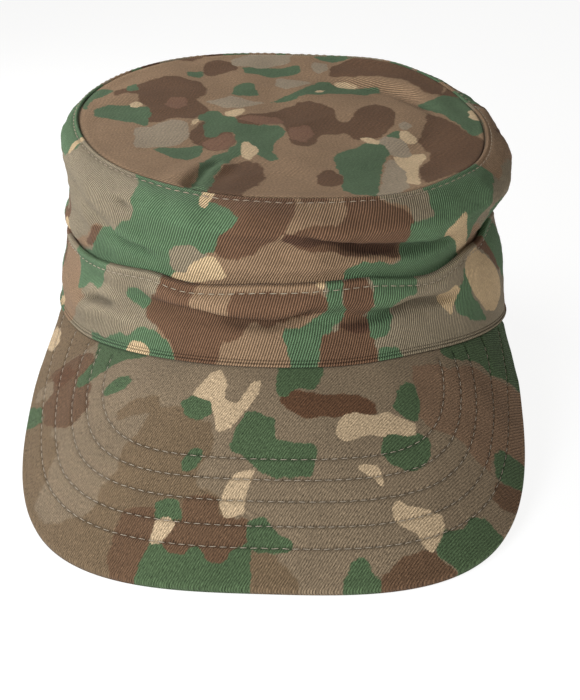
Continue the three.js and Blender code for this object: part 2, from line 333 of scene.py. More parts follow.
def outside_patches(x, y, patches):
    nearest = np.full(x.shape, float(PATCH_MARGIN))
    for patch in patches:
        line = np.array(patch, float)
        for _ in range(2):
            ahead = np.roll(line, -1, axis=0)
            nearer = (1 - CORNER_CUT) * line + CORNER_CUT * ahead
            farther = CORNER_CUT * line + (1 - CORNER_CUT) * ahead
            line = np.stack([nearer, farther], 1).reshape(-1, 2)
        low, high = line.min(axis=0) - PATCH_MARGIN, line.max(axis=0) + PATCH_MARGIN
        near = np.flatnonzero((x > low[0]) & (x < high[0]) & (y > low[1]) & (y < high[1]))
        px, py = x[near], y[near]
        away = np.full(len(near), FAR)
        inside = np.zeros(len(near), bool)
        for (x0, y0), (x1, y1) in zip(line, np.roll(line, -1, axis=0)):
            dx, dy = x1 - x0, y1 - y0
            t = np.clip(((px - x0) * dx + (py - y0) * dy) / max(dx * dx + dy * dy, 1e-9), 0, 1)
            away = np.minimum(away, np.hypot(px - x0 - t * dx, py - y0 - t * dy))
            if dy != 0:
                inside ^= ((y0 > py) != (y1 > py)) & (px < x0 + (py - y0) * dx / dy)
        nearest[near] = np.minimum(nearest[near], np.where(inside, -away, away))
    return nearest


# Patches in the same manner, scattered over cloth that the chart doesn't reach. Each is an uneven oval
# with nine corners, and moved a little from its place in rows that are a pitch apart
SCATTER = table(
    "ink pitch long wide",
    ("khaki", 42, 20, 13),
    ("brown", 34, 15, 8),
    ("dark", 50, 11, 5),
    ("green", 31, 13, 7),
    ("sand", 30, 6, 3),
)
SCATTER_SHIFT = 0.3
SCATTER_TURN = 0.9
SCATTER_CORNERS = 9
SCATTER_SIZES = (0.45, 1.25)
ROW_PITCH = 0.8


def scatter_patches(seed, low, high, charted):
    chance = random.Random(seed)
    found = {ink: [] for ink in INKS}
    for row in SCATTER:
        y = low[1] + chance.uniform(0, 0.5) * row["pitch"]
        while y < high[1]:
            x = low[0] + chance.uniform(0, 1) * row["pitch"]
            while x < high[0]:
                middle_x = x + chance.uniform(-SCATTER_SHIFT, SCATTER_SHIFT) * row["pitch"]
                middle_y = y + chance.uniform(-SCATTER_SHIFT, SCATTER_SHIFT) * row["pitch"]
                way = chance.uniform(-SCATTER_TURN, SCATTER_TURN)
                patch = []
                for corner in range(SCATTER_CORNERS):
                    place = corner + chance.uniform(-SCATTER_SHIFT, SCATTER_SHIFT)
                    a = place * 2 * math.pi / SCATTER_CORNERS
                    size = chance.uniform(*SCATTER_SIZES)
                    long, wide = row["long"] * size * math.cos(a), row["wide"] * size * math.sin(a)
                    corner_x = middle_x + long * math.cos(way) - wide * math.sin(way)
                    corner_y = middle_y + long * math.sin(way) + wide * math.cos(way)
                    patch.append((corner_x, corner_y))
                if not charted(middle_x, middle_y, row["long"]):
                    found[row["ink"]].append(patch)
                x += row["pitch"]
            y += row["pitch"] * ROW_PITCH
    return found


# For each ink, the charted patches and then the scattered ones
def all_patches(charted, scattered, stretch=1):
    patches = {}
    for ink in INKS:
        patches[ink] = [[(x, y * stretch) for x, y in patch] for patch in charted.get(ink, ())]
        patches[ink] += scattered[ink]
    return patches


NO_TRIANGLES = np.zeros((0, 3), int)


# From millimetres off the rim's middle to metres in the part's frame
def in_frame(points):
    return (points + np.array([0, rim_middle, 0])) / 1000


# A new object with the given mesh, which alone is selected
def add_piece(name, mesh):
    piece = bpy.data.objects.new(name, mesh)
    bpy.context.scene.collection.objects.link(piece)
    bpy.ops.object.select_all(action="DESELECT")
    bpy.context.view_layer.objects.active = piece
    piece.select_set(True)
    return piece


# A closed sheet of cloth from a grid of points in millimetres, with its flat chart as UV. Where the
# chart goes once round the cap, the faces across its back seam are carried on past its end
def sew(name, points, quads, triangles, chart, inks, marks):
    mesh = bpy.data.meshes.new(name)
    placed = in_frame(points)
    corners = placed[quads]
    volume = np.einsum("ij,ij->", corners[:, 0], np.cross(corners[:, 1], corners[:, 2]))
    volume += np.einsum("ij,ij->", corners[:, 0], np.cross(corners[:, 2], corners[:, 3]))
    if len(triangles):
        corners = placed[triangles]
        volume += np.einsum("ij,ij->", corners[:, 0], np.cross(corners[:, 1], corners[:, 2]))
    if volume < 0:
        quads = quads[:, ::-1]
        triangles = triangles[:, ::-1]
    loops = np.concatenate([quads.ravel(), triangles.ravel()]).astype(np.int32)
    starts = np.concatenate([
        np.arange(len(quads)) * 4,
        len(quads) * 4 + np.arange(len(triangles)) * 3,
    ]).astype(np.int32)
    mesh.vertices.add(len(placed))
    mesh.vertices.foreach_set("co", placed.astype(np.float32).ravel())
    mesh.loops.add(len(loops))
    mesh.loops.foreach_set("vertex_index", loops)
    mesh.polygons.add(len(starts))
    mesh.polygons.foreach_set("loop_start", starts)
    mesh.update(calc_edges=True)
    mesh.validate()
    mesh.polygons.foreach_set("use_smooth", np.ones(len(starts), dtype=bool))
    flat = chart[loops].copy()
    parts = (flat[: len(quads) * 4].reshape(-1, 4, 2), flat[len(quads) * 4 :].reshape(-1, 3, 2))
    for part in parts:
        if len(part):
            wraps = np.ptp(part[:, :, 0], axis=1) > rim_round / 2
            part[:, :, 0] += (wraps[:, None] & (part[:, :, 0] < 0)) * rim_round
    flat = np.concatenate([part.reshape(-1, 2) for part in parts]) / 1000
    mesh.uv_layers.new(name="cloth").data.foreach_set("uv", flat.astype(np.float32).ravel())
    fields = {ink: outside_patches(chart[:, 0], chart[:, 1], inks[ink]) for ink in INKS}
    for field, values in {**fields, **marks}.items():
        attribute = mesh.attributes.new(field, "FLOAT", "POINT")
        attribute.data.foreach_set("value", values.astype(np.float32))
    return add_piece(name, mesh)


# Faces between the rows and columns of a grid of points, either of which may close into a ring
def loop_quads(rows, columns, around_rows, around_columns):
    r, c = np.meshgrid(
        np.arange(rows if around_rows else rows - 1),
        np.arange(columns if around_columns else columns - 1),
        indexing="ij",
    )
    a = r * columns + c
    b = r * columns + (c + 1) % columns
    d = (r + 1) % rows * columns + c
    e = (r + 1) % rows * columns + (c + 1) % columns
    return np.stack([a, b, e, d], -1).reshape(-1, 4)


# A new material, whose shader has the given values
def finish(name, settings):
    material = bpy.data.materials.new(name)
    material.use_nodes = True
    shader = material.node_tree.nodes["Principled BSDF"]
    for socket, value in settings.items():
        shader.inputs[socket].default_value = value
    return material, material.node_tree, shader


# A node of a material. Each socket is given a value, or another node's output to be joined to
def add_node(tree, kind, sockets, **settings):
    node = tree.nodes.new("ShaderNode" + kind)
    for setting, value in settings.items():
        setattr(node, setting, value)
    for socket, value in sockets.items():
        if isinstance(value, bpy.types.NodeSocket):
            tree.links.new(value, node.inputs[socket])
        else:
            node.inputs[socket].default_value = value
    return node


# Printed cotton twill: the ground is taupe, the inks lie over it with uneven edges, and fine diagonal
# ribs catch the light, with painted highlight on their crests and painted shade between. The inside of
# the cloth is paler, raised edges are paler, and creases, the top seam and stitched lines get painted shade
RIB_HEIGHT = 0.00014
REVERSE_TONE = (0.3, 0.25, 0.18)
REVERSE_SHARE = 0.75
WEAR_AND_SHADING_SHARE = 0.3
FRAY = 1.2
CLOUDS = 0.5
THREAD_RELIEF = 0.8
INK_EDGES = table(
    "ink edge channel wander",
    ("khaki", 0.5, "Red", 5),
    ("brown", 0.35, "Green", 5),
    ("dark", 0.35, "Red", 4),
    ("russet", 0.4, "Green", 4),
    ("green", 0.25, "Blue", 4),
    ("clear", 0.3, "Red", 4),
    ("sand", 0.2, "Green", 2.6),
)


def camouflage_twill(name, colours, rib_angle, rib_pitch, rib_shading, speckle):
    material, tree, shader = finish(name, {
        "Roughness": 0.86,
        "Specular IOR Level": 0.1,
        "Sheen Weight": 0.04,
        "Sheen Roughness": 0.5,
    })

    def math_node(operation, *values):
        return add_node(tree, "Math", dict(enumerate(values)), operation=operation).outputs[0]

    def mix_colours(share, *colours, way="MIX"):
        under, over = [(*c, 1) if isinstance(c, tuple) else c for c in colours]
        sockets = {0: share, 6: under, 7: over}
        return add_node(tree, "Mix", sockets, data_type="RGBA", blend_type=way).outputs[2]

    def kept(attribute):
        return add_node(tree, "Attribute", {}, attribute_name=attribute).outputs["Fac"]

    def grain(cloth, scale, detail):
        sockets = {"Scale": scale, "Detail": detail, "Roughness": 0.6, "Vector": cloth}
        return add_node(tree, "TexNoise", sockets).outputs

    chart = add_node(tree, "UVMap", {}, uv_map="cloth").outputs["UV"]
    flat = add_node(tree, "VectorMath", {0: chart, "Scale": 1000}, operation="SCALE").outputs["Vector"]
    rib_turn = (0, 0, -math.radians(rib_angle))
    turned = add_node(tree, "Mapping", {"Vector": flat, "Rotation": rib_turn}).outputs["Vector"]
    across_ribs = add_node(tree, "SeparateXYZ", {"Vector": turned}).outputs["Y"]

    # Each ink's edge wanders by a millimetre or so, and frays thread by thread
    wander = add_node(tree, "SeparateColor", {"Color": grain(flat, scale=0.19, detail=5)["Color"]})
    fray = math_node("MULTIPLY_ADD", grain(flat, scale=1.3, detail=2)["Fac"], FRAY, -FRAY / 2)
    colour = colours["clear"]
    for row in INK_EDGES:
        shift = math_node("MULTIPLY_ADD", wander.outputs[row["channel"]], row["wander"], -row["wander"] / 2)
        off = math_node("ADD", math_node("ADD", kept(row["ink"]), shift), fray)
        sockets = {"Value": off, "From Min": row["edge"], "From Max": -row["edge"]}
        inked = add_node(tree, "MapRange", sockets).outputs["Result"]
        colour = mix_colours(inked, colour, colours[row["ink"]])

    # Cloth takes ink unevenly, and fades a little in soft clouds. Ribs get painted highlight and shade
    clouds = math_node("MULTIPLY_ADD", grain(flat, scale=0.045, detail=4)["Fac"], CLOUDS, 1 - CLOUDS / 2)
    drawn_out = add_node(tree, "Mapping", {"Vector": turned, "Scale": (0.9, 2.4, 1)}).outputs["Vector"]
    spun = grain(drawn_out, scale=1, detail=2)["Fac"]
    uneven = math_node("MULTIPLY_ADD", spun, speckle, 1 - speckle / 2)
    rib = math_node("SINE", math_node("MULTIPLY", across_ribs, 2 * math.pi / rib_pitch))
    # Painted highlight and shade: the colour is lighter on each rib's crest and darker in the groove beside
    # it
    rib_light_and_shade = math_node("MULTIPLY_ADD", rib, rib_shading, 1)
    shade = math_node("MULTIPLY", math_node("MULTIPLY", clouds, uneven), rib_light_and_shade)
    # The kept attribute makes raised edges paler and paints shade into creases, seam grooves and stitched
    # lines
    shade = math_node("MULTIPLY", shade, math_node("MULTIPLY_ADD", kept("wear_and_shading"), WEAR_AND_SHADING_SHARE, 1))
    tone = add_node(tree, "CombineColor", dict.fromkeys(("Red", "Green", "Blue"), shade)).outputs["Color"]
    colour = mix_colours(1.0, colour, tone, way="MULTIPLY")
    colour = mix_colours(math_node("MULTIPLY", kept("reverse"), REVERSE_SHARE), colour, REVERSE_TONE)
    tree.links.new(colour, shader.inputs["Base Color"])

    relief = math_node("MULTIPLY_ADD", spun, THREAD_RELIEF, rib)
    bump = add_node(tree, "Bump", {"Strength": 1, "Distance": RIB_HEIGHT, "Height": relief})
    tree.links.new(bump.outputs["Normal"], shader.inputs["Normal"])
    return material


# A row of sewing thread over a line of points on the cloth. Each stitch is a short round thread that
# rises out of one hole and goes down into the next, and no two lie quite alike
HOLE_SHARE = 0.14
STITCH_SHARE = 0.74
STITCH_WIDTHS = np.array([0.35, 0.85, 1, 1, 1, 0.85, 0.35])
STITCH_SIDES = 6
STITCH_ARCH = 1.15
STITCH_SUNK = 0.55
HOLE_SHIFT = 0.03
STITCH_SLANT = 0.12


def thread_rows(name, rows, pitch, radius, material):
    ring_count = len(STITCH_WIDTHS)
    arch = STITCH_ARCH * np.sin(np.linspace(0, math.pi, ring_count)) - STITCH_SUNK
    points = []
    for line, normals in rows:
        along = length_along(line)
        count = int(along[-1] // pitch)
        chance = random.Random(len(line) + count)
        for i in range(count):
            start = (i + HOLE_SHARE + chance.uniform(-HOLE_SHIFT, HOLE_SHIFT)) * pitch
            at = start + np.linspace(0, STITCH_SHARE * pitch, ring_count)
            middle = points_at(at, along, line)
            up = unit(points_at(at, along, normals))
            across = np.cross(unit(np.gradient(middle, axis=0)), up)
            slant = chance.uniform(-STITCH_SLANT, STITCH_SLANT) * np.linspace(-1, 1, ring_count)
            middle = middle + up * (radius * arch)[:, None] + across * slant[:, None]
            width = radius * STITCH_WIDTHS
            for k in range(STITCH_SIDES):
                a = 2 * math.pi * k / STITCH_SIDES
                points.append(middle + (across * math.cos(a) + up * math.sin(a)) * width[:, None])
    rings = np.stack(points).reshape(-1, STITCH_SIDES, ring_count, 3).transpose(0, 2, 1, 3)
    stitches = len(rings)
    base = loop_quads(ring_count, STITCH_SIDES, False, True)
    caps = []
    for end in (0, ring_count - 1):
        first = end * STITCH_SIDES
        for k in range(1, STITCH_SIDES - 1):
            turn = (first, first + k + 1, first + k) if end == 0 else (first, first + k, first + k + 1)
            caps.append(turn)
    each = np.arange(stitches)[:, None, None] * ring_count * STITCH_SIDES
    quads = (base[None] + each).reshape(-1, 4)
    triangles = (np.array(caps)[None] + each).reshape(-1, 3)
    mesh = bpy.data.meshes.new(name)
    placed = in_frame(rings.reshape(-1, 3))
    mesh.from_pydata(placed.tolist(), [], quads.tolist() + triangles.tolist())
    mesh.polygons.foreach_set("use_smooth", np.ones(len(mesh.polygons), dtype=bool))
    piece = add_piece(name, mesh)
    bpy.ops.object.mode_set(mode="EDIT")
    bpy.ops.mesh.select_all(action="SELECT")
    bpy.ops.mesh.normals_make_consistent(inside=False)
    bpy.ops.object.mode_set(mode="OBJECT")
    piece.data.materials.append(material)
    return piece


# Sewing thread: smooth spun cotton, lighter than the cloth, with a slight twist along it
def sewing_thread(name, colour):
    material, tree, shader = finish(name, {"Roughness": 0.6, "Specular IOR Level": 0.35})
    place = add_node(tree, "TexCoord", {}).outputs["Object"]
    spun = add_node(tree, "TexNoise", {"Scale": 1400, "Detail": 2, "Vector": place}).outputs["Fac"]
    ramp = add_node(tree, "ValToRGB", {"Fac": spun})
    for element, position, tone in zip(ramp.color_ramp.elements, (0.35, 0.65), (0.7, 1)):
        element.position = position
        element.color = (*(tone * channel for channel in colour), 1)
    tree.links.new(ramp.outputs["Color"], shader.inputs["Base Color"])
    return material


# Creases of the side, along the rim and below the top seam
SIDE_CREASES = table(
    "valley soft roll roll_width fade line",
    (3, 2.3, 1.4, 4.4, 0.3,
        ((4, -15), (12, -14), (18, -17), (26, -19), (34, -20.4), (51, -20.5), (71, -20.5), (85, -23))),
    (1.4, 1.2, 0.9, 2.4, 0.5, ((-70, -13), (-62, -13.7), (-54, -15.5))),
    (1.5, 1.3, 1, 2.6, 0.35, ((-77, -29), (-63.5, -30.4), (-55, -30.6), (-45, -32.4))),
)

STEPS_AROUND = 720
azimuths = -180 + 360 * np.arange(STEPS_AROUND) / STEPS_AROUND
behind_band = BAND_THICK + GAP
RIM_STIFF_TO = 0.3
WALL_SETTLED_BY = 0.6


# The folds die out towards the rim, which the peak's root and the welt hold
def band_face(azimuth, course, depth):
    push = side_fold(azimuth, course) * ease(course / RIM_STIFF_TO)
    return oval_point(azimuth, BAND_TAPER * course + depth - push, course_height(azimuth, course))


def side_wall(azimuth, course):
    upper = WALL_INSET - seam_swell(azimuth, "out")
    lower = BAND_TAPER + behind_band
    inset = lower + (upper - lower) * ease((course - 1) / WALL_SETTLED_BY)
    height = course_height(azimuth, course)
    above = height - edge_height(azimuth)
    slump = SLUMP["push"] * bell(turn_between(azimuth, SLUMP["azimuth"]) / SLUMP["spread"])
    slump = slump * bell((above - SLUMP["above"]) / SLUMP["tall"]) * ease(above / SLUMP["from_lip"])
    return oval_point(azimuth, inset - slump - side_fold(azimuth, course), height)


# The shoulder is a quarter of an oval: rise is 0 where the wall ends and 90 degrees at the seam
def side_shoulder(azimuth, rise):
    a = math.radians(rise)
    drop = SHOULDER_DROP * (1 - math.sin(a))
    inset = WALL_INSET + (SHOULDER_REACH + seam_drift(azimuth, "in")) * (1 - math.cos(a))
    seam = seam_height(azimuth)
    edge = edge_height(azimuth)
    course = 1 + (seam - drop - edge) / (seam - edge)
    fold = side_fold(azimuth, course) * drop / SHOULDER_DROP
    height = seam - drop + seam_drift(azimuth, "up") * math.sin(a) ** 2
    return oval_point(azimuth, inset - seam_swell(azimuth, "out") - fold, height)


# Behind the band the side follows the band's own folds, from a little above its lower edge
HIDDEN_ROWS = 16
HIDDEN_TO = 0.91
RIM_LIFT = 0.6
RIM_LIFT_TO = 0.25
side_rows = []
for course in np.linspace(0, HIDDEN_TO, HIDDEN_ROWS):
    row = band_face(azimuths, course, behind_band)
    row[:, 2] += RIM_LIFT * max(0, 1 - course / RIM_LIFT_TO)
    side_rows.append(row)

# Above the band the wall rises to the shoulder, and the shoulder rolls in to the seam
WALL_ROWS = 42
SHOULDER_ROWS = 36
wall_top = 2 - SHOULDER_DROP / (seam_height(azimuths) - edge_height(azimuths))
for share in np.linspace(0, 1, WALL_ROWS):
    side_rows.append(side_wall(azimuths, 1 + (wall_top - 1) * share))
for rise in np.linspace(0, 90, SHOULDER_ROWS)[1:]:
    side_rows.append(side_shoulder(azimuths, rise))
side_face = np.stack(side_rows)
steps = np.linalg.norm(np.diff(side_face, axis=0), axis=-1)
side_down = np.concatenate([np.cumsum(steps[::-1], axis=0)[::-1], np.zeros((1, STEPS_AROUND))])
side_along = np.broadcast_to(along_rim(azimuths), side_down.shape)
side_normals = unit_normals(side_face, True)
side_cloth_y = side_down - seam_drift(azimuths, "cut")

# The cloth is drawn in along the stitches, and puckers a little from one stitch to the next
STITCH_PITCH = 3.6
SIDE_STITCH_DOWN = 2.2
SIDE_EDGE_RELIEF = table("at width rise", (SIDE_STITCH_DOWN, 0.6, -0.26), (1, 0.6, 0.2))
# Paler along the ridge below the seam, with painted shade in the groove of the stitches
SIDE_EDGE_SHADING = table("at width rise", (SIDE_STITCH_DOWN, 0.45, -0.5), (1.2, 0.6, 0.6))
SIDE_PUCKER = 0.07
SIDE_PUCKER_WIDTH = 2.2
SIDE_WAVE_SQUASH = 1.8
SIDE_WAVES_FROM = 1
SIDE_WAVES_FADE = 6
SEAM_TUCK = 0.45
SEAM_TUCK_WIDTH = 0.7
ROWS_TO_SHOW = 4
pucker = np.sin(2 * math.pi * side_along / STITCH_PITCH)
drawn = ridges(side_down, SIDE_EDGE_RELIEF)
drawn = drawn + SIDE_PUCKER * pucker * bell((side_down - SIDE_STITCH_DOWN) / SIDE_PUCKER_WIDTH)
shown = ease((np.arange(len(side_rows)) - HIDDEN_ROWS + 1)[:, None] / ROWS_TO_SHOW)
side_creased = shown * crease(side_along, -side_cloth_y, SIDE_CREASES)
side_uneven = unevenness(side_along, SIDE_WAVE_SQUASH * side_down, seed=5, longest=46, height=0.55)
side_uneven = side_uneven * ease((side_down - SIDE_WAVES_FROM) / SIDE_WAVES_FADE)
side_push = drawn + side_creased + shown * side_uneven
side_push = side_push - SEAM_TUCK * ease((SEAM_TUCK_WIDTH - side_down) / SEAM_TUCK_WIDTH)

# A plain seam closes the tube at the middle of the back
BACK_SEAM_WIDTH = 0.9
BACK_SEAM_LEAST = 0.4
BACK_SEAM_FADE = 4
from_back = rim_round / 2 - np.abs(side_along)
back_seam = bell(from_back / BACK_SEAM_WIDTH)
back_depth = BACK_SEAM_LEAST + (1 - BACK_SEAM_LEAST) * ease(side_down / BACK_SEAM_FADE)
side_push = side_push - SEAM_TUCK * back_seam * back_depth
side_face = side_face + side_normals * side_push[:, :, None]
side_normals = unit_normals(side_face, True)

# The inside follows the outside with fewer rows, and both ends of the cloth are closed
SIDE_HEM_DROP = 0.4
SIDE_CLEARANCE = 0.15
CLOTH_IN_HEM = 1
CLOTH_IN_FELL = 0.6
LINING_CHART = 150
inner_rows = np.r_[0:HIDDEN_ROWS, HIDDEN_ROWS : len(side_rows) - 1 : 4, len(side_rows) - 1]
side_lining = side_face[inner_rows] - side_normals[inner_rows] * SIDE_THICK
side_lining[0, :, 2] = side_face[0, :, 2]
side_hem = (side_face[:1] + side_lining[:1]) / 2 - np.array([0, 0, SIDE_HEM_DROP])
side_fell = (side_face[-1:] + side_lining[-1:]) / 2
side_loop = np.concatenate([side_hem, side_face, side_fell, side_lining[::-1]])
side_loop[:, :, 2] = np.maximum(side_loop[:, :, 2], SIDE_CLEARANCE)
side_chart_y = np.concatenate([
    side_cloth_y[:1] + CLOTH_IN_HEM,
    side_cloth_y,
    side_cloth_y[-1:] - CLOTH_IN_FELL,
    side_cloth_y[inner_rows][::-1] + LINING_CHART,
])
side_chart = np.stack([np.broadcast_to(side_along[:1], side_chart_y.shape), side_chart_y], -1)
rows_total = len(side_loop)
inside = np.zeros(rows_total)
inside[len(side_rows) + 2 :] = 1

# Raised places and the rolls of creases are paler, and the creases' valleys get painted shade. The top
# seam's groove gets painted shade, but only faintly so across the back, where it lies open
PALEST_CREASE_ROLL = 0.6
DARKEST_CREASE_SHADE = -3
SEAM_SHADE_BEHIND = 0.15
SEAM_SHADE_TO = 116
SEAM_SHADE_FADE = 16
SEAM_SHADE_WIDTH = 0.5
SIDE_SEAM_SHADE = 1.6
SIDE_CREASE_SHADING = 0.5
seam_shade = ease((SEAM_SHADE_TO - np.abs(azimuths)) / SEAM_SHADE_FADE)
seam_shade = SEAM_SHADE_BEHIND + (1 - SEAM_SHADE_BEHIND) * seam_shade
side_wear_and_shading = np.zeros((rows_total, STEPS_AROUND))
side_wear_and_shading[1 : 1 + len(side_rows)] = (
    ridges(side_down, SIDE_EDGE_SHADING) - SIDE_SEAM_SHADE * seam_shade * bell(side_down / SEAM_SHADE_WIDTH)
    + SIDE_CREASE_SHADING * np.clip(side_creased, DARKEST_CREASE_SHADE, PALEST_CREASE_ROLL)
)

# The side's print, across the front as charted, and scattered round the back
SIDE_PATCHES = {
    "khaki": (
        ((-24, -8), (52, -8), (54, 6), (52, 26), (32, 28), (28, 40), (30, 60), (-40, 60), (-30, 38),
            (-24, 30), (-24, 20)),
        ((-84, 29), (-79, 29), (-83, 36), (-90, 41), (-104, 44), (-120, 47), (-104, 41), (-92, 36)),
        ((106, -8), (158, -8), (158, 16), (138, 16), (130, 11), (118, 8), (106, 10)),
        ((86, 21), (93, 22), (105, 33), (112, 42), (97, 40), (91, 31)),
    ),
    "brown": (
        ((-26, -8), (8, -8), (9, 6), (6, 12), (2, 17), (-3, 20), (-6, 24), (-13, 26), (-20, 25),
            (-26, 20), (-24, 10), (-26, 5)),
        ((29, -8), (44, -8), (44, 1), (53, 5), (54, 20), (50, 25), (40, 24), (30, 25), (22, 23), (12, 23),
            (6, 18), (8, 12), (20, 11), (29, 7)),
        ((-79, 29), (-84, 30), (-90, 36), (-96, 40), (-90, 40), (-84, 37)),
        ((10, -8), (24, -8), (22, 0), (12, 1)),
    ),
    "dark": (
        # This dark strip lies in the front crease's valley: partly print, partly painted shade
        ((5, 13), (14, 15), (24, 16), (34, 17), (44, 17.5), (52, 18), (50, 22), (40, 23.5), (30, 23),
            (22, 21), (12, 20), (4, 18)),
    ),
    "green": (
        ((-69, -2), (-64, 3), (-57, 6), (-57, 11), (-55, 16), (-58, 20), (-64, 24), (-70, 27), (-79, 29),
            (-83, 34), (-88, 41), (-104, 46), (-60, 52), (-34, 42), (-38, 34), (-40, 28), (-36, 25),
            (-30, 23), (-26, 26), (-21, 24), (-19, 18), (-14, 14), (-12, 10), (-16, 7), (-24, 5),
            (-30, 2), (-31, -2)),
        ((66, -8), (104, -8), (107, 6), (98, 9), (92, 14), (88, 22), (92, 31), (84, 36), (78, 44),
            (30, 44), (27, 36), (28, 29), (35, 26), (50, 27), (52, 20), (51, 9), (57, 9), (63, 8)),
        ((96, 14), (104, 15), (112, 23), (124, 27), (136, 29), (136, 42), (114, 40), (101, 27)),
        ((-122, -2), (-176, -2), (-170, 12), (-150, 10), (-130, 13), (-112, 10), (-108, 5), (-112, 2)),
    ),
    "clear": (
        ((-40, 32), (-38, 26), (-31, 23.5), (-26, 26), (-26, 31), (-32, 37), (-39, 35)),
        ((43, -8), (66, -8), (66, 0), (63, 5), (58, 5), (52, 2), (46, 1)),
    ),
    "sand": (
        ((-29.5, -1), (-24, -1), (-24, 3), (-25.5, 8.5), (-28, 8.5), (-29.5, 5)),
        ((-31, 31), (-27, 28), (-23, 26), (-19, 28), (-16.5, 33), (-24, 36.5), (-32, 38.5), (-41, 39),
            (-38, 36), (-33, 35)),
        ((67.5, 15), (72, 13), (78, 10), (80, 16), (84, 22), (88, 28), (95, 34), (92, 36), (87, 35),
            (82, 29), (77, 23), (72, 19), (68, 18)),
        ((-118, -2), (-114, -2), (-112, 3), (-109, 7), (-111, 9), (-116, 5)),
    ),
}
CHARTED_X = (-112, 136)
PATCH_REACH = 0.4


def on_front(x, y, reach):
    return CHARTED_X[0] - PATCH_REACH * reach < x < CHARTED_X[1] + PATCH_REACH * reach and y < 100


side_scatter = scatter_patches(11, (-320, 0), (320, 100), on_front)
crown_side = sew(
    "crown_side_cloth",
    side_loop.reshape(-1, 3),
    loop_quads(rows_total, STEPS_AROUND, True, True),
    NO_TRIANGLES,
    side_chart.reshape(-1, 2),
    all_patches(SIDE_PATCHES, side_scatter),
    {"wear_and_shading": side_wear_and_shading.ravel(), "reverse": np.repeat(inside, STEPS_AROUND)},
)
CROWN_INKS = {
    "khaki": (0.25, 0.16, 0.096),
    "brown": (0.14, 0.076, 0.044),
    "dark": (0.09, 0.045, 0.027),
    "russet": (0.19, 0.1, 0.062),
    "green": (0.092, 0.152, 0.08),
    "clear": (0.235, 0.19, 0.128),
    "sand": (0.5, 0.36, 0.21),
}
crown_side.data.materials.append(camouflage_twill(
    "twill_of_crown_side", CROWN_INKS, rib_angle=-64, rib_pitch=0.9, rib_shading=0.6, speckle=1.1,
))
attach(crown_side, "root")
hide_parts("crown_side")

stitch_row = np.argmin(np.abs(side_down.mean(axis=1) - SIDE_STITCH_DOWN))
closed = np.r_[0:STEPS_AROUND, 0]
side_thread = thread_rows(
    "top_seam_thread",
    [(side_face[stitch_row][closed], side_normals[stitch_row][closed])],
    STITCH_PITCH,
    0.19,
    sewing_thread("thread_of_top_seam", (0.36, 0.28, 0.2)),
)
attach(side_thread, "root")

# The band is a strip of the same cloth, folded double and turned up round the lower side. Its upper
# edge is free and topstitched, and its lower edge is folded into a narrow welt over the peak's root.
BAND_CREASES = table(
    "valley soft roll roll_width fade line",
    (1.7, 1.7, 1.8, 3.2, 0.25, ((-52, 18), (-26, 17), (-11.5, 13.4), (1, 13), (11.5, 15.8), (20, 22))),
    (1.9, 1.7, 1.3, 3.2, 0.2, ((24, 13.2), (34, 14.2), (44, 15.9), (54, 18.8), (71, 18.7), (84, 19.6))),
    (2, 1.4, 0.9, 2.6, 0.35, ((-90, 14.2), (-78, 15.2), (-69, 14.8), (-62, 13.8))),
    (-1.1, 1.8, 0, 3, 0.3, ((-88, 11.2), (-72.7, 11.4), (-58.5, 10.4), (-49, 9))),
)
BAND_STITCH_BELOW = 2.3
BAND_FIELD_ROWS = 32
LOWER_RELIEF = table("at width rise", (1.85, 0.4, 0.2), (1.3, 0.14, -0.28), (2.4, 0.14, -0.22))
UPPER_RELIEF = table("at width rise", (BAND_STITCH_BELOW, 0.5, -0.2), (0.9, 0.7, 0.16))
# Painted highlight on the welt's ridges and painted shade in its grooves and along the stitches; the free
# edge is paler
WELT_SHADING = table(
    "at width rise",
    (0.7, 0.4, 0.4),
    (1.3, 0.2, -1.5),
    (1.85, 0.3, 0.3),
    (2.4, 0.2, -1.2),
    (-0.1, 0.25, -1.5),
)
HEM_SHADING = table("at width rise", (0.3, 0.7, 0.5), (BAND_STITCH_BELOW, 0.4, -0.6))

# Rows of the mesh lie close together at the welt and at the free edge, in millimetres from each
from_rim = [
    0, 0.12, 0.35, 0.65, 0.92, 1.1, 1.2, 1.3, 1.4, 1.52, 1.75, 2.05, 2.2, 2.3, 2.4, 2.5, 2.65, 2.9, 3.3,
]
from_edge = [4.6, 3.9, 3.3, 2.9, 2.6, 2.3, 2.0, 1.65, 1.3, 0.95, 0.65, 0.4, 0.2, 0.08, 0]
band_tall = band_height(azimuths)
field_tall = band_tall - from_edge[0] - from_rim[-1]
band_up = [np.full(STEPS_AROUND, h) for h in from_rim]
band_up += [from_rim[-1] + field_tall * share for share in np.linspace(0, 1, BAND_FIELD_ROWS + 2)[1:-1]]
band_up += [band_tall - h for h in from_edge]
band_up = np.stack(band_up)
band_along = np.broadcast_to(along_rim(azimuths), band_up.shape)
band_outer = band_face(azimuths[None], band_up / band_tall, 0)
band_normals = unit_normals(band_outer, True)
from_top = band_tall - band_up
band_cloth_y = band_up - rim_dip(azimuths)
WELT = {"height": 0.5, "middle": 0.6, "half": 0.72}
BAND_PUCKER = 0.05
BAND_PUCKER_WIDTH = 1.6
BAND_WAVE_SQUASH = 1.6
FIELD = {"from_rim": 2.4, "fade_up": 5, "from_edge": 0.5, "fade_down": 4}
BAND_SEAM_TUCK = 0.4
EDGE_ROUND = 0.75
WELT_ROUND = 0.5
welt = WELT["height"] * np.sqrt(np.clip(1 - ((band_up - WELT["middle"]) / WELT["half"]) ** 2, 0, 1))
welt = welt + ridges(band_up, LOWER_RELIEF)
pucker = np.sin(2 * math.pi * band_along / STITCH_PITCH)
hem = ridges(from_top, UPPER_RELIEF)
hem = hem + BAND_PUCKER * pucker * bell((from_top - BAND_STITCH_BELOW) / BAND_PUCKER_WIDTH)
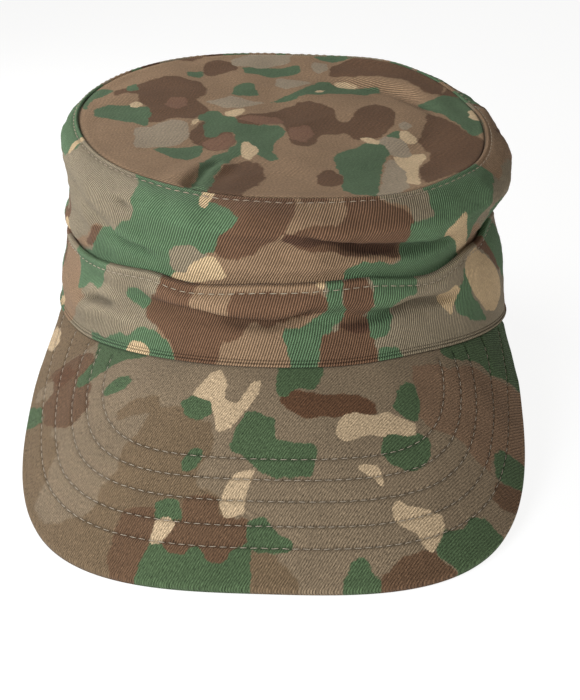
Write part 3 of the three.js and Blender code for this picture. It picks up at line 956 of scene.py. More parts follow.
hem = hem - BAND_SEAM_TUCK * bell((rim_round / 2 - np.abs(band_along)) / BACK_SEAM_WIDTH)
field = ease((band_up - FIELD["from_rim"]) / FIELD["fade_up"])
field = field * ease((from_top - FIELD["from_edge"]) / FIELD["fade_down"])
band_creased = field * crease(band_along, band_cloth_y, BAND_CREASES)
band_waves_up = BAND_WAVE_SQUASH * band_cloth_y
band_uneven = field * unevenness(band_along, band_waves_up, seed=8, longest=40, height=0.34)
band_push = welt + hem + band_creased + band_uneven
band_push = band_push - EDGE_ROUND * edge_fall(from_top, EDGE_ROUND)
band_push = band_push - WELT_ROUND * edge_fall(band_up, WELT_ROUND)
band_outer = band_outer + band_normals * band_push[:, :, None]
band_normals = unit_normals(band_outer, True)

# The band's inside is smooth. One row more closes it below, and one above
BAND_INNER_COURSES = np.linspace(0.02, 0.97, 16)
BAND_INNER_DEPTH = 2.5
BAND_UNDER_DEPTH = 1.2
BAND_OVER_DEPTH = 1.7
BAND_OVER_RISE = 0.1
CLOTH_OVER_EDGE = 1.2
BAND_INNER_CHART = (3, 41)
band_inner = band_face(azimuths[None], BAND_INNER_COURSES[:, None], BAND_INNER_DEPTH)
band_under = band_face(azimuths[None], np.zeros((1, 1)), BAND_UNDER_DEPTH)
band_over = band_face(azimuths[None], np.ones((1, 1)), BAND_OVER_DEPTH)
band_over[:, :, 2] += BAND_OVER_RISE
band_loop = np.concatenate([band_under, band_outer, band_over, band_inner[::-1]])
band_loop[:, :, 2] = np.maximum(band_loop[:, :, 2], 0)
band_rows = len(band_loop)
band_chart_y = np.concatenate([
    band_cloth_y[:1] - CLOTH_OVER_EDGE,
    band_cloth_y,
    band_cloth_y[-1:] + CLOTH_OVER_EDGE,
    band_cloth_y[-1:] + np.linspace(*BAND_INNER_CHART, len(band_inner))[:, None],
])
band_chart = np.stack([np.broadcast_to(band_along[:1], band_chart_y.shape), band_chart_y], -1)
# The creases are paler on their rolls, with painted shade in their valleys
BAND_CREASE_SHADING = 0.7
band_wear_and_shading = np.zeros((band_rows, STEPS_AROUND))
band_wear_and_shading[1 : 1 + len(band_up)] = (
    ridges(band_up, WELT_SHADING) + ridges(from_top, HEM_SHADING)
    + BAND_CREASE_SHADING * np.clip(band_creased, DARKEST_CREASE_SHADE, PALEST_CREASE_ROLL)
)

# The band's print, above the rim
BAND_PATCHES = {
    "khaki": (
        ((-128, -2), (-100, 0), (-93, 6), (-86, 14), (-92, 17), (-97, 28), (-118, 32), (-128, 22)),
        ((-44, 30), (-44, -7), (20, -7), (20, 30)),
    ),
    "brown": (
        ((-43, 30), (-44, 22), (-50, 17), (-50, 13), (-43, 9), (-37, 4), (-33, -7), (-20, -7), (-18, 5),
            (-12, 8), (-7, 13), (-10, 17), (-18, 16), (-27, 15), (-29, 20), (-27, 30)),
        ((-15, 24.6), (-15, 15), (-8, 12), (1, 11.6), (11, 14), (19, 16.4), (21.6, 21), (19, 24.4),
            (8, 25), (0, 24.8)),
        ((26.5, 28.5), (25.5, 23), (26.5, 16), (28, 13), (34, 13), (37, 17), (37.5, 24), (35.5, 28.5),
            (31, 30)),
        ((25, 14), (38, 15), (38, 8), (38, -7), (15, -7), (18, 8), (22, 11), (25, 12)),
        ((98, 34), (106, 31), (113, 25), (120, 21), (124, 26), (116, 34), (104, 39)),
    ),
    "dark": (
        # This small dark patch lies in a crease's valley: partly print, partly painted shade
        ((24, 12), (30, 13), (37, 13), (37, 10), (30, 9)),
    ),
    "green": (
        ((-116, 42), (-98, 29), (-94, 22), (-93, 16), (-86, 17), (-86, 20), (-77, 18), (-74, 22),
            (-72, 29), (-74, 34), (-100, 42)),
        ((-61, 19), (-58, 22), (-53, 22), (-48, 18), (-51, 14), (-56, 16), (-60, 17)),
        ((-72, -7), (-81, 1.6), (-76, 1.6), (-70, 0.6), (-65, 3.4), (-60, 5), (-56, 4), (-50, 8.6),
            (-44, 8), (-38, 4), (-32, -7)),
        ((19.5, 31), (26, 31), (25, 22), (27, 17), (27, 13), (22, 11), (18, 9), (17, 3), (15, -7),
            (8, -7), (6, 4), (4, 9), (6, 11), (12, 12), (17, 14), (20, 18), (20, 24)),
        ((37, 31), (37, 22), (38, 17), (43, 18), (47, 21), (55, 22), (57, 26), (56, 32)),
        ((36, 20), (45, 20), (46, 14), (42, 7), (36, 7)),
        ((38, -7), (39, 3), (42, 4), (47, 3), (50, -7)),
        ((85, 28), (88, 23), (88, 17), (92, 13), (98, 7), (98, 5), (88, 7), (80, 10), (76, 13), (76, 18),
            (80, 21), (84, 23)),
        ((104, 42), (112, 34), (119, 24), (130, 16), (142, 18), (140, 34), (122, 44)),
    ),
    "sand": (
        ((-57, -5), (-56.6, 0.4), (-53, 2.8), (-49.4, 2.8), (-46, 0.4), (-46.4, -5)),
        ((16.5, 31), (16.5, 26.5), (19, 25.5), (20, 31)),
        ((78, 22.5), (81, 20), (77.5, 17), (75, 14), (74, 11.5), (70, 15), (69, 19), (73, 20)),
        ((86, 29), (86, 25), (89, 18), (94, 13), (98, 9), (106, 7), (113, 9), (120, 11), (122, 16),
            (119, 20), (113, 25), (107, 30), (98, 34), (90, 32)),
    ),
}
band_scatter = scatter_patches(23, (-320, -4), (320, 90), on_front)
band = sew(
    "band_cloth",
    band_loop.reshape(-1, 3),
    loop_quads(band_rows, STEPS_AROUND, True, True),
    NO_TRIANGLES,
    band_chart.reshape(-1, 2),
    all_patches(BAND_PATCHES, band_scatter),
    {"wear_and_shading": band_wear_and_shading.ravel(), "reverse": np.zeros(band_rows * STEPS_AROUND)},
)
band.data.materials.append(camouflage_twill(
    "twill_of_band", CROWN_INKS, rib_angle=72, rib_pitch=0.9, rib_shading=0.6, speckle=1.1,
))
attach(band, "root")
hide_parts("band")

band_row = len(from_rim) + BAND_FIELD_ROWS + from_edge.index(BAND_STITCH_BELOW)
band_thread = thread_rows(
    "band_thread",
    [(band_outer[band_row][closed], band_normals[band_row][closed])],
    STITCH_PITCH,
    0.17,
    sewing_thread("thread_of_band", (0.4, 0.33, 0.24)),
)
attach(band_thread, "root")

# The top is an oval panel of the same cloth, sewn to the side all round. It sags a little inside its
# seam, with a ridge at the front left and a loose roll of cloth along the back right.
TOP_THICK = 1.6
TOP_SAG = 3.5
TOP_FOLDS = table(
    "x y turn long wide rise",
    (-22, -57, 70, 22, 5, -2.4),
    (-32, -58, 68, 20, 6, 1.6),
    (38, 42, -28, 36, 8, -2),
    (50, -22, 60, 24, 8, -1.4),
)
TOP_CREASES = table(
    "valley soft roll roll_width fade line",
    (1.3, 3, 1.2, 6, 0.3, ((12, 55), (28, 54), (40, 50), (48, 43), (54, 34), (60, 22), (66, 8))),
    (1.6, 2.2, 1.6, 3.6, 0.2, ((-20, -36), (-25, -50), (-28, -64), (-29, -78))),
)
TOP_GAP = 0.2
top_inset = WALL_INSET + SHOULDER_REACH + seam_drift(azimuths, "in") + TOP_GAP
edge_mm = [0, 0.15, 0.4, 0.75, 1.2, 1.8, 2.6, 3.6]
TOP_RINGS = 54
TOP_HOLE = 0.012
top_oval = oval_point(azimuths, top_inset - seam_swell(azimuths, "out"), 0)
top_radius = np.linalg.norm(top_oval[:, :2], axis=1)
top_shares = [1 - mm / top_radius for mm in edge_mm]
top_shares += [top_shares[-1] * share for share in np.linspace(1, TOP_HOLE, TOP_RINGS)[1:]]
top_shares = np.stack(top_shares)
top_face = top_oval[None] * top_shares[:, :, None]
x, y = top_face[:, :, 0], top_face[:, :, 1]

# Folds, creases and waves die out at the seam, each over its own share of the way to the middle
TOP_FOLDS_FADE = 0.12
TOP_CREASES_FADE = 0.05
TOP_WAVES_FADE = 0.1
top_rise = -TOP_SAG * (1 - top_shares**2)
edge_fade = ease((1 - top_shares) / TOP_FOLDS_FADE)
for fold in TOP_FOLDS:
    c, s = math.cos(math.radians(fold["turn"])), math.sin(math.radians(fold["turn"]))
    dx, dy = x - fold["x"], y - fold["y"]
    across = bell((dx * c + dy * s) / fold["long"]) * bell((dy * c - dx * s) / fold["wide"])
    top_rise = top_rise + edge_fade * fold["rise"] * across
top_creased = crease(x, y, TOP_CREASES) * ease((1 - top_shares) / TOP_CREASES_FADE)
top_uneven = unevenness(x, y, seed=3, longest=60, height=0.5) * ease((1 - top_shares) / TOP_WAVES_FADE)
top_rise = top_rise + top_creased + top_uneven

# Near the seam the panel's edge is rounded, swells a little and follows the side's drift
TOP_EDGE_FALL = 0.35
TOP_EDGE_ROUND = 0.8
TOP_DRIFT_REACH = 11
SEAM_STEP = {"least": 0.15, "more": 0.7, "to": 120, "fade": 40}
mm_in = (1 - top_shares) * top_radius
top_rise = top_rise - TOP_EDGE_FALL * edge_fall(mm_in, TOP_EDGE_ROUND)
top_rise = top_rise + ridges(mm_in, table("at width rise", (2, 1.4, 0.2)))
top_rise = top_rise + seam_drift(azimuths, "up") * (1 - ease(mm_in / TOP_DRIFT_REACH))
seam_step = SEAM_STEP["more"] * np.sin(np.radians(azimuths)) ** 2
seam_step = seam_step * ease((SEAM_STEP["to"] - np.abs(azimuths)) / SEAM_STEP["fade"])
seam_step = SEAM_STEP["least"] + seam_step
top_level = SEAM_HEIGHT + (seam_height(azimuths) - seam_step - SEAM_HEIGHT) * top_shares
top_face[:, :, 2] = top_level + top_rise
lower_rows = np.r_[len(top_shares) - 1 : 8 : -6, 5, 1]
top_back = top_face[lower_rows].copy()
top_back[:, :, 2] -= TOP_THICK
top_side = top_face[:1].copy()
top_side[:, :, 2] -= TOP_THICK / 2
top_points = np.concatenate([top_side, top_face])
top_grid_rows = len(top_points)
upper_middle = top_face[-1].mean(axis=0)
lower_middle = top_back[0].mean(axis=0)
top_all = np.concatenate([
    top_points.reshape(-1, 3),
    top_back.reshape(-1, 3),
    upper_middle[None],
    lower_middle[None],
])
upper_start = (top_grid_rows - 1) * STEPS_AROUND
lower_start = top_grid_rows * STEPS_AROUND
last_start = lower_start + (len(top_back) - 1) * STEPS_AROUND
here = np.arange(STEPS_AROUND)
there = (here + 1) % STEPS_AROUND
top_quads = np.concatenate([
    loop_quads(top_grid_rows, STEPS_AROUND, False, True),
    lower_start + loop_quads(len(top_back), STEPS_AROUND, False, True),
    np.stack([last_start + here, last_start + there, there, here], -1),
])
middle = len(top_all) - 2
top_triangles = np.concatenate([
    np.stack([upper_start + here, upper_start + there, np.full(STEPS_AROUND, middle)], -1),
    np.stack([lower_start + there, lower_start + here, np.full(STEPS_AROUND, middle + 1)], -1),
])
top_chart = top_all[:, :2].copy()
# Paler near the seam's swell, with painted shade along the seam's groove, and the creases paler on their
# rolls with painted shade in their valleys
TOP_EDGE_WEAR = table("at width rise", (1.6, 1, 0.3))
TOP_SEAM_SHADE = 1.8
TOP_CREASE_SHADING = 0.5
top_wear_and_shading = np.zeros(len(top_all))
top_wear_and_shading[STEPS_AROUND : STEPS_AROUND * top_grid_rows] = (
    ridges(mm_in, TOP_EDGE_WEAR) - TOP_SEAM_SHADE * seam_shade * bell(mm_in / SEAM_SHADE_WIDTH)
    + TOP_CREASE_SHADING * np.clip(top_creased, DARKEST_CREASE_SHADE, PALEST_CREASE_ROLL)
).ravel()
top_reverse = np.zeros(len(top_all))
top_reverse[lower_start : lower_start + len(top_back) * STEPS_AROUND] = 1
top_reverse[-1] = 1

# The top's print, seen from above
TOP_PATCHES = {
    "khaki": (
        ((-110, -110), (110, -110), (110, 110), (-110, 110)),
    ),
    "brown": (
        ((-61, 38), (-58, 42), (-50, 48), (-45, 47), (-38, 43), (-35, 38), (-34, 31), (-38, 25), (-33, 18),
            (-30, 12), (-35, 7), (-37, 2), (-45, 3), (-50, -3), (-55, -2), (-56, 13), (-60, 15),
            (-61, 24), (-67, 25), (-71, 20), (-72, 26), (-66, 30)),
        ((-38, 69), (-33, 74), (-26, 71), (-23, 64), (-29, 57), (-35, 52), (-39, 57)),
        ((-20, 8), (-15, 13), (-10, 14), (-3, 20), (5, 28), (10, 31), (15, 26), (20, 20), (21, 10), (25, 7),
            (28, 15), (31, 23), (37, 27), (42, 23), (45, 15), (44, 5), (41, -2), (37, -7), (34, -7),
            (29, -9), (25, -2), (20, -5), (15, -5), (13, -16), (10, -21), (4, -19), (2, -7), (-1, 5),
            (-8, 2), (-19, -2)),
        ((-20, -48), (-17, -40), (-12, -37), (-6, -41), (-4, -53), (-6, -63), (-10, -70), (-10, -82),
            (-24, -82), (-22, -58)),
        ((-36, -16), (-36, -8), (-32, 2), (-29, -2), (-30, -9), (-24, -8), (-19, -10), (-17, -20), (-20, -28),
            (-28, -28), (-33, -22)),
        ((14, -51), (16, -46), (20, -44), (24, -50), (24, -59), (20, -63), (15, -61)),
        # This patch at the right is partly print, partly painted shade for the side away from the light
        ((57, 18), (63, 14), (66, 9), (71, -1), (76, -9), (82, -20), (74, -36), (62, -48), (53, -58),
            (51, -48), (52, -36), (56, -28), (57, -22), (53, -12), (55, 0), (57, 8)),
        ((34, 84), (39, 74), (52, 74), (60, 67), (67, 48), (66, 37), (59, 38), (55, 45), (50, 53), (39, 58),
            (28, 58), (17, 61), (18, 73), (25, 79)),
    ),
    "russet": (
        ((-31, -20), (-26, -16), (-22, -10), (-18, -13), (-18, -22), (-21, -28), (-28, -27)),
        ((-20, 6), (-14, 11), (-4, 12), (0, 8), (-2, 3), (-12, 2)),
        ((-48, 24), (-42, 26), (-40, 18), (-44, 12), (-50, 16)),
        ((2, 0), (10, 4), (12, -6), (9, -16), (3, -12)),
    ),
    "green": (
        ((-77, 5), (-72, 11), (-63, 13), (-60, 11), (-55, 12), (-53, -4), (-54, -8), (-60, -5), (-66, -3),
            (-75, -2)),
        ((-84, 12), (-83, 24), (-76, 29), (-72, 26), (-75, 21), (-79, 16), (-80, 4)),
        ((-68, 32), (-64, 35), (-62, 28), (-67, 26)),
        ((-45, 55), (-39, 58), (-37, 53), (-39, 49), (-44, 50)),
        ((-22, 66), (-14, 69), (-5, 69), (3, 73), (5, 64), (-4, 60), (-8, 56), (-14, 59), (-20, 59)),
        ((-24, 41), (-20, 47), (-15, 48), (-14, 41), (-12, 35), (-17, 32), (-23, 33)),
        ((-8, 28), (0, 36), (4, 41), (9, 49), (13, 56), (18, 55), (21, 52), (38, 51), (40, 47), (33, 43),
            (25, 42), (15, 39), (7, 37), (1, 30)),
        ((-35, 8), (-31, 13), (-27, 14), (-25, 9), (-20, 8), (-18, 1), (-10, 0), (-8, 3), (-1, 1), (1, -5),
            (-1, -13), (-3, -21), (-3, -28), (0, -35), (-3, -38), (-8, -31), (-14, -30), (-18, -38),
            (-20, -45), (-22, -55), (-22, -65), (-23, -84), (-36, -84), (-30, -70), (-28, -57),
            (-28, -44), (-25, -35), (-20, -29), (-17, -20), (-19, -10), (-23, -9), (-26, -16), (-30, -15),
            (-32, -4), (-31, 1), (-34, 1)),
        ((-48, -31), (-44, -28), (-37, -27), (-34, -24), (-30, -23), (-29, -29), (-30, -36), (-34, -41),
            (-38, -41), (-42, -37)),
        ((54, 31), (60, 31), (66, 38), (73, 36), (78, 28), (82, 12), (80, -2), (76, -8), (73, -6), (70, 3),
            (66, 12), (63, 17), (57, 24)),
        ((9, 85), (19, 87), (30, 85), (28, 81), (19, 77), (13, 80)),
        ((20, -30), (24, -23), (28, -19), (32, -11), (36, -11), (41, -16), (42, -22), (40, -25), (38, -38),
            (37, -53), (36, -60), (36, -72), (27, -72), (24, -66), (23, -62), (24, -52), (21, -42)),
        ((40, -6), (43, -2), (47, -1), (47, -8), (42, -9)),
    ),
    "clear": (
        ((-58, -11), (-52, -8), (-48, -2), (-44, 1), (-38, -1), (-36, -16), (-39, -24), (-44, -28),
            (-49, -30), (-54, -32), (-56, -28), (-56, -20)),
        ((-35, 23), (-27, 28), (-24, 32), (-16, 28), (-9, 28), (-14, 23), (-19, 19), (-25, 17), (-28, 20)),
        ((-28, 74), (-20, 83), (-10, 88), (0, 90), (-1, 75), (-9, 70), (-15, 67), (-20, 68), (-26, 68)),
        ((-6, 57), (2, 56), (10, 54), (4, 47), (-1, 44), (-6, 46)),
        ((10, 77), (16, 76), (17, 67), (12, 63), (9, 70)),
        ((37, -9), (41, -6), (46, -9), (49, -14), (50, -23), (46, -25), (42, -23), (40, -16), (36, -11)),
        ((39, -33), (42, -26), (45, -31), (47, -42), (47, -56), (46, -64), (41, -72), (35, -72), (37, -58),
            (38, -48)),
        ((46, 6), (49, 8), (51, 3), (49, -1), (46, 0)),
    ),
    "sand": (
        ((-64, 14), (-61, 17), (-58, 14), (-60, 10), (-63, 11)),
        ((-25, 13), (-21, 17), (-17, 19), (-17, 12), (-20, 8), (-24, 9)),
        ((-37, -4), (-36, 2), (-34, 3), (-34, -1), (-36, -5)),
        ((-15.4, -20), (-12.6, -18), (-8, -26), (-10.6, -36), (-14.6, -33)),
        ((30, -7), (34, -6), (38, -10), (37, -13.6), (33, -12)),
        ((46, -2), (49, -1), (52, -7), (52, -12), (48, -13), (45.6, -8)),
        ((42, -23), (48, -24.6), (50, -21), (55, -21), (55, -26), (51.6, -35), (51, -42), (51, -49),
            (50.6, -59), (46, -55), (46.6, -44), (45, -35)),
        ((19, 55), (25, 55.6), (31, 52), (25, 51), (20, 52.6)),
        ((11, 41), (13, 44.6), (16, 44.6), (14, 41)),
        ((75, 20), (77, 22), (80, 17), (80, 9), (76, 9), (74.6, 13)),
    ),
}
TOP_HALF_WIDTH = 78
TOP_HALF_DEPTH = 82


def on_top(x, y, reach):
    return math.hypot(x / TOP_HALF_WIDTH, y / TOP_HALF_DEPTH) < 1.1


top_scatter = scatter_patches(31, (-90, -90), (90, 90), on_top)
crown_top = sew(
    "crown_top_cloth",
    top_all,
    top_quads,
    top_triangles,
    top_chart,
    all_patches(TOP_PATCHES, top_scatter),
    {"wear_and_shading": top_wear_and_shading, "reverse": top_reverse},
)
TOP_INKS = {
    **CROWN_INKS,
    "khaki": (0.265, 0.17, 0.101),
    "brown": (0.124, 0.067, 0.037),
    "green": (0.083, 0.13, 0.07),
    "clear": (0.3, 0.238, 0.168),
    "sand": (0.53, 0.39, 0.24),
}
crown_top.data.materials.append(camouflage_twill(
    "twill_of_crown_top", TOP_INKS, rib_angle=-31, rib_pitch=0.95, rib_shading=0.5, speckle=1.4,
))
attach(crown_top, "root")
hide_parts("crown_top")

# The peak is a stiff board covered on both faces with the cloth, and quilted with five rows of
# stitches that follow its edge and turn up at the sides. Its root is sewn in under the band.
PEAK_THICK = 3
PEAK_HALF_WIDTH = 93.5
PEAK_CENTRE_Y = -60
PEAK_REACH = 97
PEAK_BLUNTNESS = 3.08
PEAK_HALF_ANGLE = 74
PEAK_CORNER = 0.8
PEAK_END = 0.97
PEAK_ROOT = 4
PEAK_CROWNING = 3.5
PEAK_TOUCH_Y = -125
PEAK_EDGE_HEIGHT = 1.8
PEAK_EDGE_BLEND = 5
PEAK_ROWS_OF_STITCHES = table(
    "share ends",
    (0.47, 0.52),
    (0.56, 0.585),
    (0.65, 0.65),
    (0.75, 0.75),
    (0.835, 0.9),
)
peak_end = oval_point(np.array(float(PEAK_HALF_ANGLE)), 0, 0)


def peak_edge(t):
    side, u = np.sign(t), np.abs(t)
    a = np.minimum(u / PEAK_CORNER, 1) * math.pi / 2
    power = 2 / PEAK_BLUNTNESS
    x = side * PEAK_HALF_WIDTH * np.sin(a) ** power
    y = PEAK_CENTRE_Y - PEAK_REACH * np.maximum(0, np.cos(a)) ** power
    share = np.clip((u - PEAK_CORNER) / (1 - PEAK_CORNER), 0, 1)
    straight_x = side * (PEAK_HALF_WIDTH + (peak_end[0] - PEAK_HALF_WIDTH) * share)
    straight_y = PEAK_CENTRE_Y + (peak_end[1] - PEAK_CENTRE_Y) * share
    return np.where(u > PEAK_CORNER, straight_x, x), np.where(u > PEAK_CORNER, straight_y, y)


def peak_edge_height(y):
    climb = rim_height(np.array(float(PEAK_HALF_ANGLE))) - GAP - PEAK_EDGE_HEIGHT
    rise = climb * (y - PEAK_TOUCH_Y) / (peak_end[1] - PEAK_TOUCH_Y)
    return PEAK_EDGE_HEIGHT + (rise + np.hypot(rise, PEAK_EDGE_BLEND)) / 2 - 0.06 * PEAK_EDGE_BLEND


def peak_face(t, share):
    azimuth = t * PEAK_HALF_ANGLE
    root = oval_point(azimuth, 0, rim_height(azimuth) - GAP)
    edge_x, edge_y = peak_edge(t)
    crowning = PEAK_CROWNING * 4 * share * (1 - share) * np.cos(t * math.pi / 2)
    x = root[..., 0] + (edge_x - root[..., 0]) * share
    y = root[..., 1] + (edge_y - root[..., 1]) * share
    z = root[..., 2] + (peak_edge_height(edge_y) - root[..., 2]) * share + crowning
    return np.stack([x, y, z], -1)


# How far down the peak a row of stitches lies. It keeps its place where the rim hangs lower
ROW_SQUARENESS = 5
ROW_ROUNDNESS = 0.625
SHARE_PER_DIP = 0.0118


def stitch_share(row, t):
    bend = np.clip(1 - (np.abs(t) / row["ends"]) ** ROW_SQUARENESS, 0, 1) ** ROW_ROUNDNESS
    return bend * (row["share"] - SHARE_PER_DIP * (1 - row["share"]) * rim_dip(t * PEAK_HALF_ANGLE))


# Millimetres down the slope of the peak are about 1.33 of those towards the front
PEAK_SLOPE = 1.33


def down_peak(points):
    return -(points[..., 1] + RIM_HALF_DEPTH) * PEAK_SLOPE


def peak_unevenness(points):
    return unevenness(points[..., 0], down_peak(points), seed=13, longest=70, height=0.3)


# Steps across are even along the outer edge, and closer near the edge's turn
even = np.linspace(-PEAK_END, PEAK_END, 4001)
edge_line = np.stack([*peak_edge(even), peak_edge_height(peak_edge(even)[1])], -1)
edge_along = length_along(edge_line)
PEAK_STEPS = 400
peak_t = np.interp(np.linspace(0, edge_along[-1], PEAK_STEPS), edge_along, even)
peak_shares = np.concatenate([np.linspace(0, 0.97, 150), [0.98, 0.988, 0.994, 0.998, 1]])
peak_upper = peak_face(peak_t[None], peak_shares[:, None])
peak_normals = -unit_normals(peak_upper, False)
down_steps = np.linalg.norm(np.gradient(peak_upper, axis=0), axis=-1)
across_steps = np.linalg.norm(np.gradient(peak_upper, axis=1), axis=-1)
PEAK_WAVES_FADE = 0.1
inner_peak = ease(peak_shares / PEAK_WAVES_FADE) * ease((1 - peak_shares) / PEAK_WAVES_FADE)
peak_push = peak_unevenness(peak_upper) * inner_peak[:, None]
PEAK_STITCH_PITCH = 3.4
PEAK_GROOVE = 0.42
PEAK_GROOVE_WIDTH = 0.6
PEAK_GROOVE_SHADE_WIDTH = 0.45
PEAK_PUCKER = 0.05
PEAK_PUCKER_WIDTH = 1.8
THREAD_SUNK = 0.34
THREAD_ENDS = 0.9999
THREAD_STEP = 0.6
pucker = np.sin(2 * math.pi * peak_upper[:, :, 0] / PEAK_STITCH_PITCH)
peak_stitches = []
peak_grooves = 0
for row in PEAK_ROWS_OF_STITCHES:
    level = peak_shares[:, None] - stitch_share(row, peak_t)[None]
    slope = np.hypot(np.gradient(level, axis=0) / down_steps, np.gradient(level, axis=1) / across_steps)
    away = level / np.maximum(slope, 1e-6)
    sewn = (np.abs(peak_t) < row["ends"])[None]
    puckered = PEAK_PUCKER * pucker * bell(away / PEAK_PUCKER_WIDTH)
    peak_push = peak_push + sewn * (puckered - PEAK_GROOVE * bell(away / PEAK_GROOVE_WIDTH))
    peak_grooves = peak_grooves + sewn * bell(away / PEAK_GROOVE_SHADE_WIDTH)
    fine = np.linspace(-row["ends"] * THREAD_ENDS, row["ends"] * THREAD_ENDS, 1500)
    fine_share = stitch_share(row, fine)
    line = peak_face(fine, fine_share)
    beside = peak_face(fine, fine_share + 0.002) - line
    up = unit(np.cross(beside, np.gradient(line, axis=0)))
    up = up * np.sign(up[:, 2:])
    along = length_along(line)
    stops = np.arange(0, along[-1], THREAD_STEP)
    line, up = points_at(stops, along, line), points_at(stops, along, up)
    lift = peak_unevenness(line) - THREAD_SUNK
    peak_stitches.append((line + up * lift[:, None], up))
PEAK_ROUND = 1.4
PEAK_LOWER_ROUND = 0.9
PEAK_STRAIGHT_TO = 0.06
PEAK_RIM_BULGE = 0.35
to_edge = (1 - peak_shares[:, None]) * np.linalg.norm(peak_upper[-1] - peak_upper[0], axis=-1)[None]
rounding = PEAK_ROUND * edge_fall(to_edge, PEAK_ROUND)
peak_push = peak_push - rounding + ridges(to_edge, table("at width rise", (2.2, 1.4, 0.2)))
peak_upper = peak_upper + peak_normals * peak_push[:, :, None]
peak_root = peak_face(peak_t[None], np.zeros((1, 1)))
root_oval = oval_point(peak_t * PEAK_HALF_ANGLE, PEAK_ROOT, 0)
peak_root[0, :, :2] = root_oval[:, :2]
under_rows = np.r_[len(peak_shares) - 1, len(peak_shares) - 3, len(peak_shares) - 6 : 0 : -7, 0]
peak_lower = peak_face(peak_t[None], peak_shares[under_rows][:, None])
lower_normals = -unit_normals(peak_face(peak_t[None], peak_shares[:, None]), False)[under_rows]
lower_push = -PEAK_THICK + rounding[under_rows] * PEAK_LOWER_ROUND
straight_down = ease(1 - peak_shares[under_rows][:, None] / PEAK_STRAIGHT_TO)[:, :, None]
lower_way = lower_normals * (1 - straight_down) + np.array([0, 0, 1.0]) * straight_down
peak_lower = peak_lower + lower_way * lower_push[:, :, None]
peak_rim = (peak_upper[-1:] + peak_lower[:1]) / 2
outward = peak_face(peak_t[None], np.full((1, 1), 1.0)) - peak_face(peak_t[None], np.full((1, 1), 0.99))
peak_rim = peak_rim + unit(outward) * PEAK_RIM_BULGE
peak_root_low = peak_root.copy()
peak_root_low[:, :, 2] -= PEAK_THICK
peak_loop = np.concatenate([peak_root, peak_upper, peak_rim, peak_lower, peak_root_low])
peak_loop[:, :, 2] = np.maximum(peak_loop[:, :, 2], 0)
peak_rows = len(peak_loop)
upper_count = len(peak_upper) + 1
UNDERSIDE_CHART = 240
CHART_PER_DIP = 0.92
peak_chart = np.stack([peak_loop[:, :, 0], down_peak(peak_loop)], -1)
peak_chart[upper_count + 1 :, :, 0] += UNDERSIDE_CHART
peak_dip = CHART_PER_DIP * rim_dip(peak_t * PEAK_HALF_ANGLE)
peak_chart[0, :, 1] += peak_dip
peak_chart[1 : 1 + len(peak_upper), :, 1] += peak_dip * (1 - peak_shares[:, None])
# The peak's edge is paler, and painted shade runs along the groove of each row of stitches
PEAK_EDGE_WEAR = 0.35
PEAK_GROOVE_SHADE = 1.7
peak_wear_and_shading = np.zeros((peak_rows, PEAK_STEPS))
peak_worn = ridges(to_edge, table("at width rise", (0.8, 1, PEAK_EDGE_WEAR)))
peak_wear_and_shading[1 : 1 + len(peak_upper)] = peak_worn - PEAK_GROOVE_SHADE * peak_grooves
peak_wear_and_shading[upper_count] = PEAK_EDGE_WEAR

